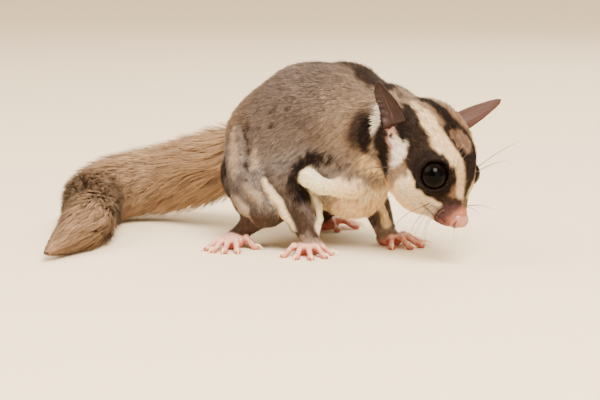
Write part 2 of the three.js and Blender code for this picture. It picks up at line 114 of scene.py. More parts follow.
def headToBody(points):
    return np.asarray(points, float) @ headTurn.T + headAt


def bodyToHead(points):
    return (points - headAt) @ headTurn


def toWorld(points):
    return (np.asarray(points, float) + bodyShift) * mm


def curveThrough(points, steps=12):
    # Catmull-Rom line through the points, as many short steps
    p = np.asarray(points, float)
    p = np.vstack([2 * p[0] - p[1], p, 2 * p[-1] - p[-2]])
    t = np.linspace(0, 1, steps, endpoint=False)[:, None]
    out = []
    for a, b, c, d in zip(p, p[1:], p[2:], p[3:]):
        straight = 2 * b + (c - a) * t
        bend = (2 * a - 5 * b + 4 * c - d) * t ** 2
        twist = (3 * b - a - 3 * c + d) * t ** 3
        out.append(0.5 * (straight + bend + twist))
    return np.vstack(out + [p[-2:-1]])


def spreadOver(values, count):
    # Values at even shares of a line, read at as many other shares
    return np.interp(np.linspace(0, 1, count), np.linspace(0, 1, len(values)), values)


def onSide(line, side):
    # A line of the animal's left, or its mirror image on the right
    return [(x, side * y, z) for x, y, z in line]


class Line:
    # A curve walked by the share of its length
    def __init__(self, points, steps=12):
        self.points = curveThrough(points, steps)
        gaps = size(np.diff(self.points, axis=0))
        self.marks = np.concatenate([[0], np.cumsum(gaps)])
        self.length = self.marks[-1]

    def at(self, share):
        far = np.clip(share, 0, 1) * self.length
        return np.stack([np.interp(far, self.marks, self.points[:, i]) for i in range(3)], axis=-1)

    def along(self, share):
        return unit(self.at(np.minimum(share + 0.012, 1)) - self.at(np.maximum(share - 0.012, 0)))

    def nearest(self, points):
        # Share of the length and distance of the nearest mark for each point
        best = np.full(len(points), 1e9)
        share = np.zeros(len(points))
        for i, mark in enumerate(self.points):
            far = size(points - mark)
            closer = far < best
            best[closer] = far[closer]
            share[closer] = self.marks[i] / self.length
        return share, best


# Fields: the signed distance from the skin, negative inside


def ellipsoidField(points, at, radii):
    q = (points - at) / radii
    reach = np.maximum(size(q), 1e-6)
    slope = np.maximum(size(q / radii), 1e-8)
    return reach * (reach - 1) / slope


def barField(points, start, end, radii):
    start, end = np.asarray(start, float), np.asarray(end, float)
    along = end - start
    share = np.clip((points - start) @ along / (along @ along), 0, 1)
    return size(points - start - share[..., None] * along) - mix(radii[0], radii[1], share)


def softMin(a, b, soft):
    blend = np.maximum(soft - np.abs(a - b), 0) / soft
    return np.minimum(a, b) - blend * blend * soft / 4


def cutOut(field, hollow, soft):
    return -softMin(-field, hollow, soft)


def merged(parts, soft):
    # One field out of several; the joins are sharp where soft is 0
    total = None
    for part in parts:
        if total is None:
            total = part
        else:
            total = softMin(total, part, soft) if soft else np.minimum(total, part)
    return total


def chainField(points, joints, radii, soft=0.0):
    links = zip(joints, joints[1:], radii, radii[1:])
    return merged((barField(points, a, b, (r, s)) for a, b, r, s in links), soft)


def shapeField(points, shape):
    parts = [ellipsoidField(points, vec(*at), vec(*radii)) for at, radii in shape["blobs"]]
    parts += [barField(points, *bar) for bar in shape["bars"]]
    return merged(parts, shape["soft"])


earHole = {"at": (-18.9, 13.5, -4.5), "radii": (0.9, 1.6, 1.1)}
noseLook = {
    "at": (13.0, 0, -5.4), "radii": (2.9, 3.5, 3.2), "step": 0.16,
    "wing": ((13.9, 1.75, -5.3), (2.1, 1.75, 2.3)),
    "cleft": ((16.6, 0, -3.2), (15.3, 0, -8.8), (0.34, 0.3)),
    "nostril": [(14.2, 2.4, -4.6), (14.75, 3.0, -5.4), (15.15, 2.75, -6.1), (15.5, 2.05, -6.5)],
    "slit": spreadOver((0.16, 0.42, 0.3), 13),
}

# Body masses, the same as the solids', each taken in by the depth of its fur

torsoShape = {
    "soft": 7, "depth": 1.35,
    "blobs": [
        ((-6.5, 0, 30), (20.5, 22, 21.5)),  # rump
        ((-11.3, 0, 35.5), (16.5, 17, 17)),  # upper rump
        ((5.5, 0, 37.5), (24.5, 21.5, 26)),  # arch of the back
        ((21.5, 0, 42.5), (17.5, 16, 21.5)),  # shoulders
        ((24, 0, 25), (13, 14, 15)),  # chest
    ],
    # before each haunch
    "bars": [((-10, side * 17, 35), (-12, side * 18.5, 22), (3.2, 3.6)) for side in (-1, 1)],
}

headShape = {
    "soft": 4,
    "blobs": [
        ((-15, 0, -3), (13.2, 12.8, 14.4)),  # braincase
        ((-4.5, 0, -2), (10.8, 11.3, 11.8)),  # brow
        ((-7, 6.2, -9.5), (10, 6.4, 7.6)),  # cheeks
        ((-7, -6.2, -9.5), (10, 6.4, 7.6)),
        ((-6.5, 0, -14), (11, 8, 7.4)),  # throat
        ((-1.2, 6.6, -0.4), (6.4, 5.2, 6.6)),  # rims of the eyes
        ((-1.2, -6.6, -0.4), (6.4, 5.2, 6.6)),
        ((-9, 4.6, 4.7), (8.4, 5.7, 5.1)),  # left of the crown
        ((8.6, 2.7, -7.2), (4.2, 2.7, 2.7)),  # upper lips
        ((8.6, -2.7, -7.2), (4.2, 2.7, 2.7)),
    ],
    "bars": [
        ((0, 0, -4.2), (11.8, 0, -5.3), (8.8, 3.8)),  # muzzle
        ((-2, 0, -12.5), (9, 0, -9.6), (5.8, 2.5)),  # lower jaw
    ],
}
headDepth = {"muzzle": 0.2, "skull": 0.5}
neckShape = {
    "joints": [(25, 0, 41), (38, -1, 43), (50, -2.6, 41.5)], "radii": (16.3, 14.0, 11.7), "depth": 1.3,
}
mouthSides = [(1.5, -10.4), (5, -10.5), (8, -10.0), (10.5, -9.4), (12, -9.0)]

frontPaw = {
    "palm": (4.4, 3.6, 2.6), "digit": 1.05, "reach": (8.6, 9.8, 10.4, 9.6, 7.4),
    "spread": (-58, -28, -4, 22, 56), "knuckle": 3.2, "claw": 3.5,
}
hindPaw = {
    "palm": (6.2, 3.9, 2.9), "digit": 1.1, "reach": (9.2, 10.2, 10.6, 10.0, 6.8),
    "spread": (-34, -15, 4, 24, 74), "knuckle": 3.3, "claw": 3.3,
}
pawForms = {"pad": (1.36, 1.36, 1.1), "knuckle": (1.28, 1.28, 1.3), "soft": 1.1}
limbs = {
    "foreRight": {
        "joints": [(20, -9.5, 36), (9.5, -18.0, 25.5), (19, -15.8, 2.6)],
        "paw": (17.2, -17.3), "heading": -38,
    },
    "foreLeft": {
        "joints": [(20, 9.5, 36), (17, 13.8, 24.5), (28.4, 14, 2.6)], "paw": (29, 14), "heading": 8,
    },
    "hindRight": {
        "joints": [(-10, -12, 24), (4, -21, 15), (-11, -21, 3.2)], "paw": (-9.5, -24), "heading": -66,
    },
    "hindLeft": {
        "joints": [(-10, 12, 24), (4, 21, 15), (-11, 21, 3.2)], "paw": (-9, 24), "heading": 58,
    },
}
limbDepth = 0.75
limbRadii = {
    "fore": ((6.2, 6.4, 5.8), (6.0, 5.6, 4.7, 3.6)),
    "hind": ((12, 11.5, 7), (5, 4.6, 3.6, 3.0)),
}

# Folded gliding skin: each roll's line on the animal's left, and its radii
glidingRolls = [
    ([(4.4, 23.4, 24.6), (6.4, 23.9, 22.4), (8.8, 23.9, 19.8), (11.8, 22.8, 15.4), (14.4, 20.4, 8.6)],
     (1.15, 1.6, 1.6, 1.5, 1.1)),
    ([(-5.0, 22.8, 24.6), (-2.4, 24.8, 22.2), (1.0, 25.4, 20.0), (4.0, 25.3, 17.6), (7.0, 23.6, 14.6)],
     (1.2, 1.85, 1.95, 1.8, 1.0)),
    ([(-9.6, 22.4, 20.4), (-6.6, 24.8, 17.8), (-2.6, 25.8, 14.9), (1.2, 24.6, 11.8)],
     (1.6, 2.3, 2.3, 1.2)),
]
rollBumps = {"wander": 0.32, "swell": 0.13}

# Smooth fold from the chest that ends in a knob beside the foreleg
chestFold = {
    "points": [(20.0, 18.8, 26.0), (24.6, 17.4, 23.5), (28.6, 14.0, 22.8), (32, 9, 23)],
    "radii": (2.7, 2.05, 2.0, 1.4),
}

# Thin edge of skin before the foreleg: share of the way to the wrist, then forwards and outwards
legFold = {
    "offsets": [(0.2, 4.6, 4.6), (0.4, 5.8, 4.0), (0.6, 5.2, 3.0), (0.78, 3.2, 1.8)],
    "radii": (1.35, 1.1, 0.95, 0.7),
}
pleats = [
    # line on the animal's left, depth, half width
    ([(-20.6, 15.6, 40), (-17.8, 19.8, 33.5), (-13.8, 23, 24)], 1.5, 1.5),
    ([(-9.8, 18.2, 42.4), (-5.8, 20.7, 36.4), (-4.4, 22.8, 28.9), (-1, 25, 24.6)], 1.3, 1.3),
    ([(0.5, 20, 41), (1.2, 22, 34), (2.4, 23, 29)], 0.6, 1.2),
    ([(15.5, 20.4, 24), (16.2, 20.2, 29.5), (19.5, 18.6, 32.4), (25, 17, 31.6), (30, 14.6, 29.5)], 1.7, 1.5),
]

tail = {
    "length": 152, "root": 12.5, "full": 15.4, "end": 10.5, "tip": 3, "core": 0.4,
    "leaving": [(-18, 0, 32.5), (-38, 1.5, 24.4)], "start": (-58, 2.5, 18),
    "turn": 20, "angle": 135, "turnHeights": (16.6, 10.4), "endHeights": (8.2, 3.4),
}


def tailLine():
    # Out of the rump, round a bend on the ground, then straight to the tip
    startX, startY, _ = tail["start"]
    turn, steps = tail["turn"], 5
    points = [*tail["leaving"], tail["start"]]
    for i in range(1, steps + 1):
        heading = math.pi + math.radians(tail["angle"] * i / steps)
        height = mix(*tail["turnHeights"], i / steps)
        points.append((startX + turn * math.sin(heading), startY - turn - turn * math.cos(heading), height))
    left = tail["length"] - Line(points).length
    x, y, _ = points[-1]
    for share, bend, height in zip((0.5, 1), (0, 0.2), tail["endHeights"]):
        way = left * share
        points.append((x + way * math.cos(heading - bend), y + way * math.sin(heading - bend), height))
    return Line(points)


tailPath = tailLine()


def tailRadius(share):
    body = mix(tail["root"], tail["full"], smoothStep(0, 0.16, share))
    thin = mix(body, tail["end"], smoothStep(0.2, 0.85, share))
    return mix(thin, tail["tip"], smoothStep(0.8, 1, share))


def gaze(side):
    x, y, z = eyeLook["gaze"]
    return unit(vec(x, side * y, z))


def eyeCentre(side):
    return vec(-eyeLook["back"], side * eyeLook["halfApart"], 0)


def onSkin(field, start, way, far=30.0):
    # Walks from an inner point to the zero of a field
    near = 0.0
    for _ in range(40):
        middle = (near + far) / 2
        if field((start + way * middle)[None])[0] < 0:
            near = middle
        else:
            far = middle
    return start + way * near


def headField(points):
    # Takes points in the head's frame
    distance = shapeField(points, headShape)
    return distance + mix(headDepth["muzzle"], headDepth["skull"], smoothStep(10, -14, points[..., 0]))


def mouthLine():
    left = [onSkin(headField, vec(x, 0, z), vec(0, 1, 0)) for x, z in mouthSides]
    right = [p * vec(1, -1, 1) for p in left]
    x, z = mouthSides[-1]
    front = onSkin(headField, vec(x - 2, 0, z), vec(1, 0, 0))
    return curveThrough(right + [front] + left[::-1], 6)


def headWithFace(points):
    h = bodyToHead(points)
    distance = headField(h)
    for side in (-1, 1):
        centre, way = eyeCentre(side), gaze(side)
        q = h - centre
        deep = q @ way
        across = size(q - deep[..., None] * way)
        lid = eyeLook["lids"][side]
        if side > 0:  # nothing of the brow stands before the left eye
            distance = cutOut(distance, -np.minimum(deep - lid - 0.7, 8.5 - across), 1.0)
        rim = np.hypot(across - eyeLook["opening"] - 0.25, deep - lid) - 0.62
        distance = softMin(distance, rim, 1.2)
        opening = across - eyeLook["opening"] - 0.22 * (deep - lid)
        distance = np.maximum(distance, -np.maximum(opening, lid - 0.3 - deep))
        distance = np.maximum(distance, eyeLook["radius"] + 0.05 - size(q))
    distance = cutOut(distance, chainField(h, mouthPoints, [0.42] * len(mouthPoints)), 0.5)
    for side in (-1, 1):
        hole = ellipsoidField(h, vec(*earHole["at"]) * vec(1, side, 1), vec(*earHole["radii"]))
        distance = cutOut(distance, hole, 0.5)
    return distance


mouthPoints = mouthLine()


def limbField(name, points):
    limb = limbs[name]
    upper, lower = limbRadii[name[:4]]
    top, middle, low = [vec(*p) for p in limb["joints"]]
    first = chainField(points, [top, (top + middle) / 2, middle], upper)
    second = chainField(points, [mix(middle, low, s) for s in (0, 0.33, 0.67, 1)], lower)
    return softMin(first, second, 3) + limbDepth


def pawPlan(name):
    return frontPaw if name.startswith("fore") else hindPaw


def pawSide(name):
    return 1 if name.endswith("Right") else -1


def digitLine(name, angle, spots):
    # Places along one digit's way, from their distances and heights
    limb = limbs[name]
    heading = math.radians(limb["heading"] + pawSide(name) * angle)
    way = vec(math.cos(heading), math.sin(heading), 0)
    return [vec(*limb["paw"], 0) + way * far + vec(0, 0, high) for far, high in spots]


def pawDigits(name):
    # For each digit its joints, from the palm to the tip
    plan = pawPlan(name)
    root = plan["palm"][0] * 0.35
    digits = []
    for angle, reach in zip(plan["spread"], plan["reach"]):
        tip = root + reach
        digits.append(digitLine(name, angle, [
            (root, plan["palm"][2] * 0.6), (mix(root, tip, 0.45), plan["knuckle"]),
            (mix(root, tip, 0.8), plan["digit"] * 1.5), (tip, plan["digit"] * 0.85)]))
    return digits


def pawField(name, points):
    plan, limb = pawPlan(name), limbs[name]
    local = (points - vec(*limb["paw"], 0)) @ turnAbout("Z", limb["heading"])
    palm = ellipsoidField(local, vec(0, 0, plan["palm"][2] * 0.72), vec(*plan["palm"]))
    parts = [palm]
    for joints in pawDigits(name):
        line = curveThrough(joints, 3)
        finger = chainField(points, line, np.linspace(plan["digit"], plan["digit"] * 0.84, len(line)))
        pad = ellipsoidField(points, joints[-1] - vec(0, 0, 0.15), vec(*pawForms["pad"]))
        knuckle = ellipsoidField(points, line[len(line) // 3], vec(*pawForms["knuckle"]))
        parts.append(softMin(softMin(finger, pad, 0.5), knuckle, 0.6))
    return merged(parts, pawForms["soft"])


def rollField(side, points):
    parts = []
    for line, radii in glidingRolls:
        spots = curveThrough(onSide(line, side), 4)
        number = np.arange(len(spots))
        spots = spots + np.outer(rollBumps["wander"] * np.sin(number * 1.35), vec(0.8, 0, 0.6))
        wide = spreadOver(radii, len(spots)) * (1 + rollBumps["swell"] * np.sin(number * 1.55))
        parts.append(chainField(points, spots, wide))
    return merged(parts, 0.4)


def mirroredRight(points):
    return points * np.where(points[..., 1:2] < 0, vec(1, -1, 1), 1.0)


def foldField(points):
    line = [vec(*p) for p in chestFold["points"]]
    return chainField(mirroredRight(points), line, chestFold["radii"], 1.5)


def legFoldField(name, points):
    _, middle, low = [vec(*p) for p in limbs[name]["joints"]]
    side = pawSide(name)
    spots = [mix(middle, low, share) + vec(ahead, side * out, 0) for share, ahead, out in legFold["offsets"]]
    return chainField(points, spots, legFold["radii"], 0.6)


def torsoField(points):
    body = shapeField(points, torsoShape) + torsoShape["depth"]
    left = mirroredRight(points)
    for groove, deep, wide in pleats:
        line = curveThrough(groove, 3)
        off = chainField(left, line, [0.0] * len(line))
        body = body + deep * np.exp(-(off / wide) ** 2)
    return softMin(body, foldField(points), mix(0.8, 4.0, smoothStep(23, 29, points[..., 0])))


def neckField(points):
    line = [vec(*p) for p in neckShape["joints"]]
    return chainField(points, line, neckShape["radii"], 3) + neckShape["depth"]


def tailField(points):
    shares = np.linspace(0, 0.97, 40)
    return chainField(points, tailPath.at(shares), tailRadius(shares) * tail["core"])


# The skin: one closed mesh, taken from the sum of the fields

voxel = 0.56
skinBox = (vec(-86, -64, -0.9), vec(90, 34, 66))


class Block:
    # A grid of distances that shapes are added to, each within its own box
    def __init__(self, low, high, step, far=4.0):
        self.low, self.step, self.far = low, step, far
        self.count = np.ceil((high - low) / step).astype(int) + 1
        self.values = np.full(self.count, far, np.float32)

    def add(self, field, low, high, soft):
        first = np.clip(np.floor((np.asarray(low) - self.low) / self.step).astype(int), 0, self.count - 1)
        last = np.clip(np.ceil((np.asarray(high) - self.low) / self.step).astype(int) + 1, 1, self.count)
        cut = tuple(slice(a, b) for a, b in zip(first, last))
        axes = [self.low[i] + self.step * np.arange(first[i], last[i]) for i in range(3)]
        for start in range(0, len(axes[0]), 40):
            x = axes[0][start:start + 40]
            points = np.stack(np.meshgrid(x, axes[1], axes[2], indexing="ij"), axis=-1)
            part = (slice(cut[0].start + start, cut[0].start + start + len(x)), cut[1], cut[2])
            value = np.minimum(field(points), self.far).astype(np.float32)
            self.values[part] = softMin(self.values[part], value, soft)

    def skin(self):
        grid = openvdb.FloatGrid(self.far)
        grid.copyFromArray(self.values)
        points, quads = grid.convertToQuads(isovalue=0.0)
        return points.astype(float) * self.step + self.low, quads


def around(points, margin):
    p = np.asarray(points, float)
    return p.min(axis=0) - margin, p.max(axis=0) + margin


def skinMesh():
    block = Block(*skinBox, voxel)
    block.add(torsoField, (-30, -26, 0), (44, 26, 66), 0.01)
    block.add(neckField, *around(neckShape["joints"], 18), 5.5)
    headCorners = headToBody([(x, y, z) for x in (-30, 17) for y in (-16, 16) for z in (-24, 14)])
    block.add(headWithFace, *around(headCorners, 0), 4.5)
    for name, limb in limbs.items():
        fore = name.startswith("fore")
        block.add(partial(limbField, name), *around(limb["joints"], 9 if fore else 14), 3 if fore else 4)
        if fore:
            block.add(partial(legFoldField, name), *around(limb["joints"], 14), 1.0)
        block.add(partial(pawField, name), *around(np.vstack(pawDigits(name)), 7), 1.6)
    for side in (-1, 1):
        spots = np.vstack([onSide(line, side) for line, _ in glidingRolls])
        block.add(partial(rollField, side), *around(spots, 6), 0.7)
    block.add(tailField, *around(tailPath.points, 9), 3)
    points, quads = block.skin()
    points[:, 2] = np.maximum(points[:, 2], 0.0)
    return points, quads


def newPiece(name, points, faces, material, tints=None, copies=1):
    # Points in the animal's frame; the faces of one form, which each copy repeats over its own points
    corners = np.concatenate(faces)
    lengths = np.array([len(face) for face in faces])
    number = np.arange(copies)[:, None]
    loops = (corners + number * (len(points) // copies)).ravel()
    starts = (np.cumsum(lengths) - lengths + number * len(corners)).ravel()
    mesh = bpy.data.meshes.new(name)
    mesh.vertices.add(len(points))
    mesh.vertices.foreach_set("co", toWorld(points).astype(np.float32).ravel())
    mesh.loops.add(len(loops))
    mesh.loops.foreach_set("vertex_index", loops.astype(np.int32))
    mesh.polygons.add(len(starts))
    mesh.polygons.foreach_set("loop_start", starts.astype(np.int32))
    mesh.update(calc_edges=True)
    mesh.shade_smooth()
    mesh.materials.append(material)
    if tints is not None:
        addColours(mesh, tints)
    piece = bpy.data.objects.new(name, mesh)
    bpy.context.collection.objects.link(piece)
    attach(piece, bodyName)
    return piece


def ringFaces(rings, count, closed=False):
    # Quads between rings of points, and where closed, from the last ring back to the first
    i = np.arange(rings if closed else rings - 1)[:, None]
    j = np.arange(count)[None]
    ahead, beside = (i + 1) % rings * count, (j + 1) % count
    return np.stack([i * count + j, i * count + beside, ahead + beside, ahead + j], axis=-1).reshape(-1, 4)


def addColours(mesh, tints):
    attribute = mesh.attributes.new("coatColour", "FLOAT_COLOR", "POINT")
    rows = np.ones((len(mesh.vertices), 4), np.float32)
    rows[:, :3] = tints.reshape(-1, 3)
    attribute.data.foreach_set("color", rows.ravel())


def vertexNormals(mesh):
    normals = np.zeros(len(mesh.vertices) * 3, np.float32)
    mesh.vertex_normals.foreach_get("vector", normals)
    return normals.reshape(-1, 3).astype(float)


# Slow waves over space, for uneven edges and for fur that wanders


class Waves:
    def __init__(self, wavelength, count, seed):
        source = np.random.default_rng(seed)
        ways = unit(source.normal(size=(count, 3))) * (2 * math.pi / wavelength)
        self.ways = ways * source.uniform(0.7, 1.5, (count, 1))
        self.phases = source.uniform(0, 2 * math.pi, count)

    def __call__(self, points):
        return np.sin(points @ self.ways.T + self.phases).sum(axis=-1) / math.sqrt(len(self.phases) / 2)


edgeWaves = Waves(3.2, 9, 5)
broadWaves = Waves(16, 7, 8)
turnWaves = Waves(9, 8, 11)
swirlWaves = Waves(4.2, 8, 13)
fleckWaves = Waves(1.9, 10, 17)


# Markings, in the head's and the body's own frames, given for the animal's right side and mirrored

colours = {
    "back": linear(97, 83, 75), "rump": linear(129, 104, 84), "flank": linear(115, 104, 99),
    "shoulder": linear(128, 107, 89), "belly": linear(240, 206, 160), "throat": linear(196, 170, 146),
    "shade": linear(50, 37, 30), "stripe": linear(24, 15, 11), "dorsal": linear(38, 26, 20),
    "patch": linear(18, 11, 8), "brown": linear(88, 65, 50), "light": linear(160, 139, 120),
    "cream": linear(243, 218, 182), "white": linear(232, 216, 198), "fold": linear(250, 230, 190),
    "head": linear(118, 91, 69), "fawn": linear(138, 116, 97), "brow": linear(220, 188, 145),
    # The peach colour on the next line is painted reflected light
    "salmon": linear(224, 168, 116), "brush": linear(124, 98, 80), "bald": linear(94, 71, 59),
    "ringEdge": linear(46, 30, 23), "earStripe": linear(33, 23, 17), "earHole": linear(34, 12, 10),
    "pinkish": linear(198, 152, 138), "muzzle": linear(69, 45, 44), "lip": linear(108, 62, 55),
    # The nose top colour on the next line is a painted highlight
    "nosePink": linear(150, 92, 76), "noseUnder": linear(160, 76, 64), "noseTop": linear(166, 112, 94),
    "noseRear": linear(116, 74, 63), "noseWing": linear(86, 56, 54), "nostril": linear(70, 22, 20),
    "cleft": linear(150, 76, 70), "leg": linear(66, 51, 42), "pink": linear(214, 160, 143),
    # The darker paw colour on the next line is painted shade
    "pawCrease": linear(176, 104, 88), "tail": linear(148, 119, 92), "tailEnd": linear(134, 106, 82),
}

# The head's middle line on the crown and the brow, as it lies in this animal: place forwards and offset
middleLine = ((-30, -16, -13, -9, -2, 4, 9), (-3.0, -3.2, -1.6, -0.4, 1.3, 1.7, 0.6))

headMarks = [
    # colour, line, half widths, softness
    ("brown", [(-12, -0.6, 10.4), (-8, -0.4, 10), (-4, 0.2, 9.4)], (3.0, 3.4, 2.6), 1.4),
    ("stripe", [(-32, -3.4, -1), (-26.5, -3.4, 5.4), (-21.3, -3.1, 9), (-16.9, -3.2, 10.3),
     (-13.5, -2.3, 10.4)], (0.9, 1.2, 1.9, 2.3, 2.6), 0.6),
    ("stripe", [(-13.6, -4.0, 9.8), (-12.4, -5.0, 9.4), (-8.7, -4.6, 9.0), (-5.0, -3.4, 8.8),
     (-2.2, -1.8, 8.6)], (1.3, 0.9, 0.7, 0.8, 1.6), 0.4),
    ("stripe", [(-5, 0.6, 9.0), (-2.4, 1.4, 8.4), (1, 2.0, 7.2), (4, 2.1, 4.8), (6.5, 1.8, 2),
     (9, 1.0, -0.6)], (2.0, 3.9, 4.2, 3.6, 2.4, 1.0), 0.6),
    ("brow", [(-26, -7.2, 3.2), (-21, -8.3, 6.1), (-16.5, -8.4, 7.2), (-11, -7.8, 7.1), (-7.2, -7.3, 6.8),
     (-3, -6.1, 7.4), (1.2, -4.7, 7), (5, -2.9, 4.1), (7.3, -2.0, 1.5), (9, -2.0, -0.3)],
     (0.8, 1.7, 2.4, 2.4, 3.0, 2.5, 2.1, 2.1, 1.6, 0.9), 0.6),
    ("ringEdge", [(5, -9.3, -2.0), (6.9, -6.8, -2.6), (8.6, -4.6, -2.2), (9.6, -2.7, -1.0)],
     (1.7, 2.1, 2.0, 1.7), 0.8),
    ("earStripe", [(-28, -7.6, 0.6), (-26.6, -8, 2.2), (-21, -10.4, 4.0), (-15.9, -11.8, 2.9),
     (-12.4, -11.3, 2.9), (-10.3, -11.2, 1.4), (-8.2, -11.5, -0.9), (-5.5, -11.3, -0.2)],
     (0.9, 1.3, 2.2, 3.0, 3.2, 3.6, 4.7, 5.4), 0.6),
    ("stripe", [(-20.5, -12.2, 1.2), (-17.5, -12.9, 0.6), (-14.5, -12.9, -0.6)], (1.8, 2.2, 1.4), 0.6),
    ("ringEdge", [(4.5, -9.2, 0.2), (6.6, -7.4, 1.0), (7.4, -6.0, 0.4)], (1.3, 1.3, 0.9), 0.6),
    ("pinkish", [(-23.4, -13, -3.8), (-20.6, -13.2, -4.4), (-17.8, -13.3, -5.2), (-15.6, -13.2, -5.6)],
     (2.2, 2.8, 2.4, 1.4), 0.9),
    ("white", [(-16.6, -13.2, -4.4), (-14.5, -13.1, -3.7), (-12.8, -12.8, -5), (-11.3, -12.6, -7.6),
     (-10.6, -12.2, -9.4)], (1.6, 2.8, 2.5, 1.5, 0.8), 0.9),
    ("patch", [(-25.5, -12.4, 0.6), (-21, -13, 0), (-17.6, -13.2, -1.0), (-15.4, -13, -1.4)],
     (1.6, 2.2, 1.7, 1.2), 0.7),
    # painted shade in the ear opening
    ("earHole", [(-19.0, -13.4, -4.2), (-18.6, -13.4, -4.7)], (0.85, 0.85), 0.3),
    ("stripe", [(-24.6, -12.2, -7.6), (-23.2, -12.6, -8.2), (-19.8, -13.1, -9.7), (-16.8, -12.7, -11.8),
     (-13.2, -10.8, -14.2), (-10.4, -9.4, -15.8)], (2.0, 2.8, 3.4, 3.9, 3.2, 1.5), 0.8),
    ("shade", [(-30.9, -12.6, -10.8), (-29, -12.8, -14.8), (-26, -12.6, -18.8)], (2.2, 3.4, 3.2), 2.2),
    ("patch", [(-28.9, -12.2, -9.6), (-26.1, -12.6, -12.7), (-23.4, -12.2, -16), (-20.7, -11, -18.2)],
     (1.6, 2.7, 3.0, 1.9), 1.0),
    ("white", [(-30.2, -10.4, -5.6), (-29.5, -10.7, -6), (-27, -11.6, -7.2), (-25.2, -12.4, -9.3),
     (-23.6, -12.6, -10.9)], (1.2, 1.6, 1.8, 1.4, 0.8), 0.5),
]

# The dark edge left of the bald patch
leftBranch = {
    "points": [(-13, 0.2, 10.6), (-10.3, 3.3, 10.2), (-7.5, 4.9, 9.8), (-4.8, 4.7, 9.2), (-2.6, 3.4, 8.8)],
    "wide": (1.5, 1.2, 1.1, 1.1, 1.4),
}

# Painted shade in the crease between the two rear rolls and below the lowest roll
foldCreaseShade = [
    ("patch", [(-7.6, -23.4, 22.8), (-4.6, -24.8, 20), (-0.8, -25.4, 17.4), (2.6, -25.2, 14.8),
     (4.8, -24.2, 13)], (0.8, 1.0, 1.0, 0.8, 0.4), 0.4),
    ("shade", [(-10.6, -23.6, 17.4), (-7.6, -25.2, 14), (-3.6, -25.8, 11.2), (-0.6, -25.2, 9.4)],
     (0.7, 1.0, 1.1, 0.9), 0.6),
]

bodyMarks = [
    ("dorsal", [(46, -3, 50.5), (42, -2.6, 54), (36, -2.2, 58), (30, -1.4, 60.6), (23, -0.4, 63),
     (12, 0, 64.5)], (1.2, 2.6, 4.6, 4.6, 3.0, 1.4), 1.6),
    ("shade", [(12, 0, 64), (0, 0, 57), (-10, 0, 52.4), (-20, 0, 46), (-26, 0, 38)],
     (2.2, 1.9, 1.7, 1.5, 1.2), 1.6),
    ("shade", [(3.0, -18.4, 46.8), (4.4, -19.6, 42)], (0.55, 0.5), 0.45),
    ("shade", [(9.3, -17.8, 50.6), (9.9, -18.8, 47.6)], (0.3, 0.3), 0.4),
    ("shade", [(17.4, -17.8, 46), (19.2, -18.2, 42.4), (21.6, -17.9, 38.4)], (0.3, 0.35, 0.3), 0.4),
    ("shade", [(-7, -19, 43.4), (-6, -19.8, 40)], (0.8, 0.5), 0.5),
    # Painted shade along the two rear pleat grooves
    ("shade", [(-9.6, -18.4, 41.4), (-5.8, -20.7, 36.4), (-4.4, -22.8, 28.9), (-1.4, -25, 24.8)],
     (1.0, 1.0, 0.9, 0.7), 0.8),
    ("shade", [(-20.2, -16.8, 38.4), (-17.6, -20, 31), (-14, -23.4, 23.6)], (1.2, 1.3, 1.1), 0.9),
    ("light", [(-13.7, -18.9, 40.4), (-12.7, -19.8, 37.2), (-10.4, -22.2, 30), (-7.6, -25, 24.6)],
     (1.0, 2.0, 2.2, 2.1), 0.8),
    ("light", [(-2.2, -21, 33), (-0.8, -23, 28)], (1.2, 1.4), 1.0),
    # Painted shade along the armpit crease round the chest fold
    ("patch", [(31.4, -13.4, 29.4), (29, -15.4, 30), (25, -17.2, 31.6), (19.8, -18.6, 32.2),
     (15.6, -20, 28.6), (15.2, -20.4, 24), (16.4, -18.6, 19)], (0.9, 2.2, 3.0, 3.2, 2.6, 2.4, 2.6), 1.0),
]


def lineMask(points, line, halfWidths, soft, wander=0.45):
    return smoothStep(-soft, soft, wander * edgeWaves(points) - chainField(points, line, halfWidths))


def markLayers(points, marks, middle=((0,), (0,)), wander=0.45):
    # The marks as layers of paint, folded over the middle line to the left
    offset = np.interp(points[:, 0], *middle) * smoothStep(11, 5, np.abs(points[:, 1]))
    folded = points.copy()
    folded[:, 1] = np.where(points[:, 1] > offset, 2 * offset - points[:, 1], points[:, 1])
    return [(tint, lineMask(folded, line, widths, soft, wander)) for tint, line, widths, soft in marks]


def painted(colour, layers):
    # One layer over another: each a colour, by name or by value, and its mask
    for tint, mask in layers:
        colour = mix(colour, colours[tint] if isinstance(tint, str) else tint, mask[..., None])
    return colour


def nearness(distance, soft):
    return np.exp(-np.maximum(distance, 0) / soft)


def meeting(first, second, wide):
    # Near 1 where two surfaces meet
    return np.exp(-(np.maximum(np.abs(first), np.abs(second)) / wide) ** 2)


def skinShares(points, h):
    # How much each part of the animal counts at each point of the skin, and how deep in a crease it lies
    gaps = {
        "torso": torsoField(points), "neck": neckField(points), "head": headField(h),
        "tail": tailField(points), "rollRight": rollField(-1, points), "rollLeft": rollField(1, points),
    }
    for name in limbs:
        gaps[name] = limbField(name, points)
        gaps["paw" + name] = pawField(name, points)
    soft = {label: 0.5 if label.startswith(("roll", "paw")) else 1.3 for label in gaps}
    weights = np.stack([nearness(gap, soft[label]) for label, gap in gaps.items()], axis=1) ** 2
    weights /= np.maximum(weights.sum(axis=1, keepdims=True), 1e-9)
    low = smoothStep(34, 28, points[:, 2])
    creases = []
    for side, label in ((-1, "Right"), (1, "Left")):
        torso, fore, roll = gaps["torso"], gaps["fore" + label], gaps["roll" + label]
        pairs = ((roll, torso), (roll, fore), (torso, fore))
        creases += [low * meeting(one, other, 1.1) for one, other in pairs]
        rolls = [chainField(points, curveThrough(onSide(line, side), 3), spreadOver(radii, 3 * len(line) - 2))
                 for line, radii in glidingRolls]
        creases += [meeting(one, other, 0.75) for one, other in zip(rolls, rolls[1:])]
    return dict(zip(gaps, weights.T)), np.clip(np.maximum.reduce(creases) * 1.15, 0, 1)


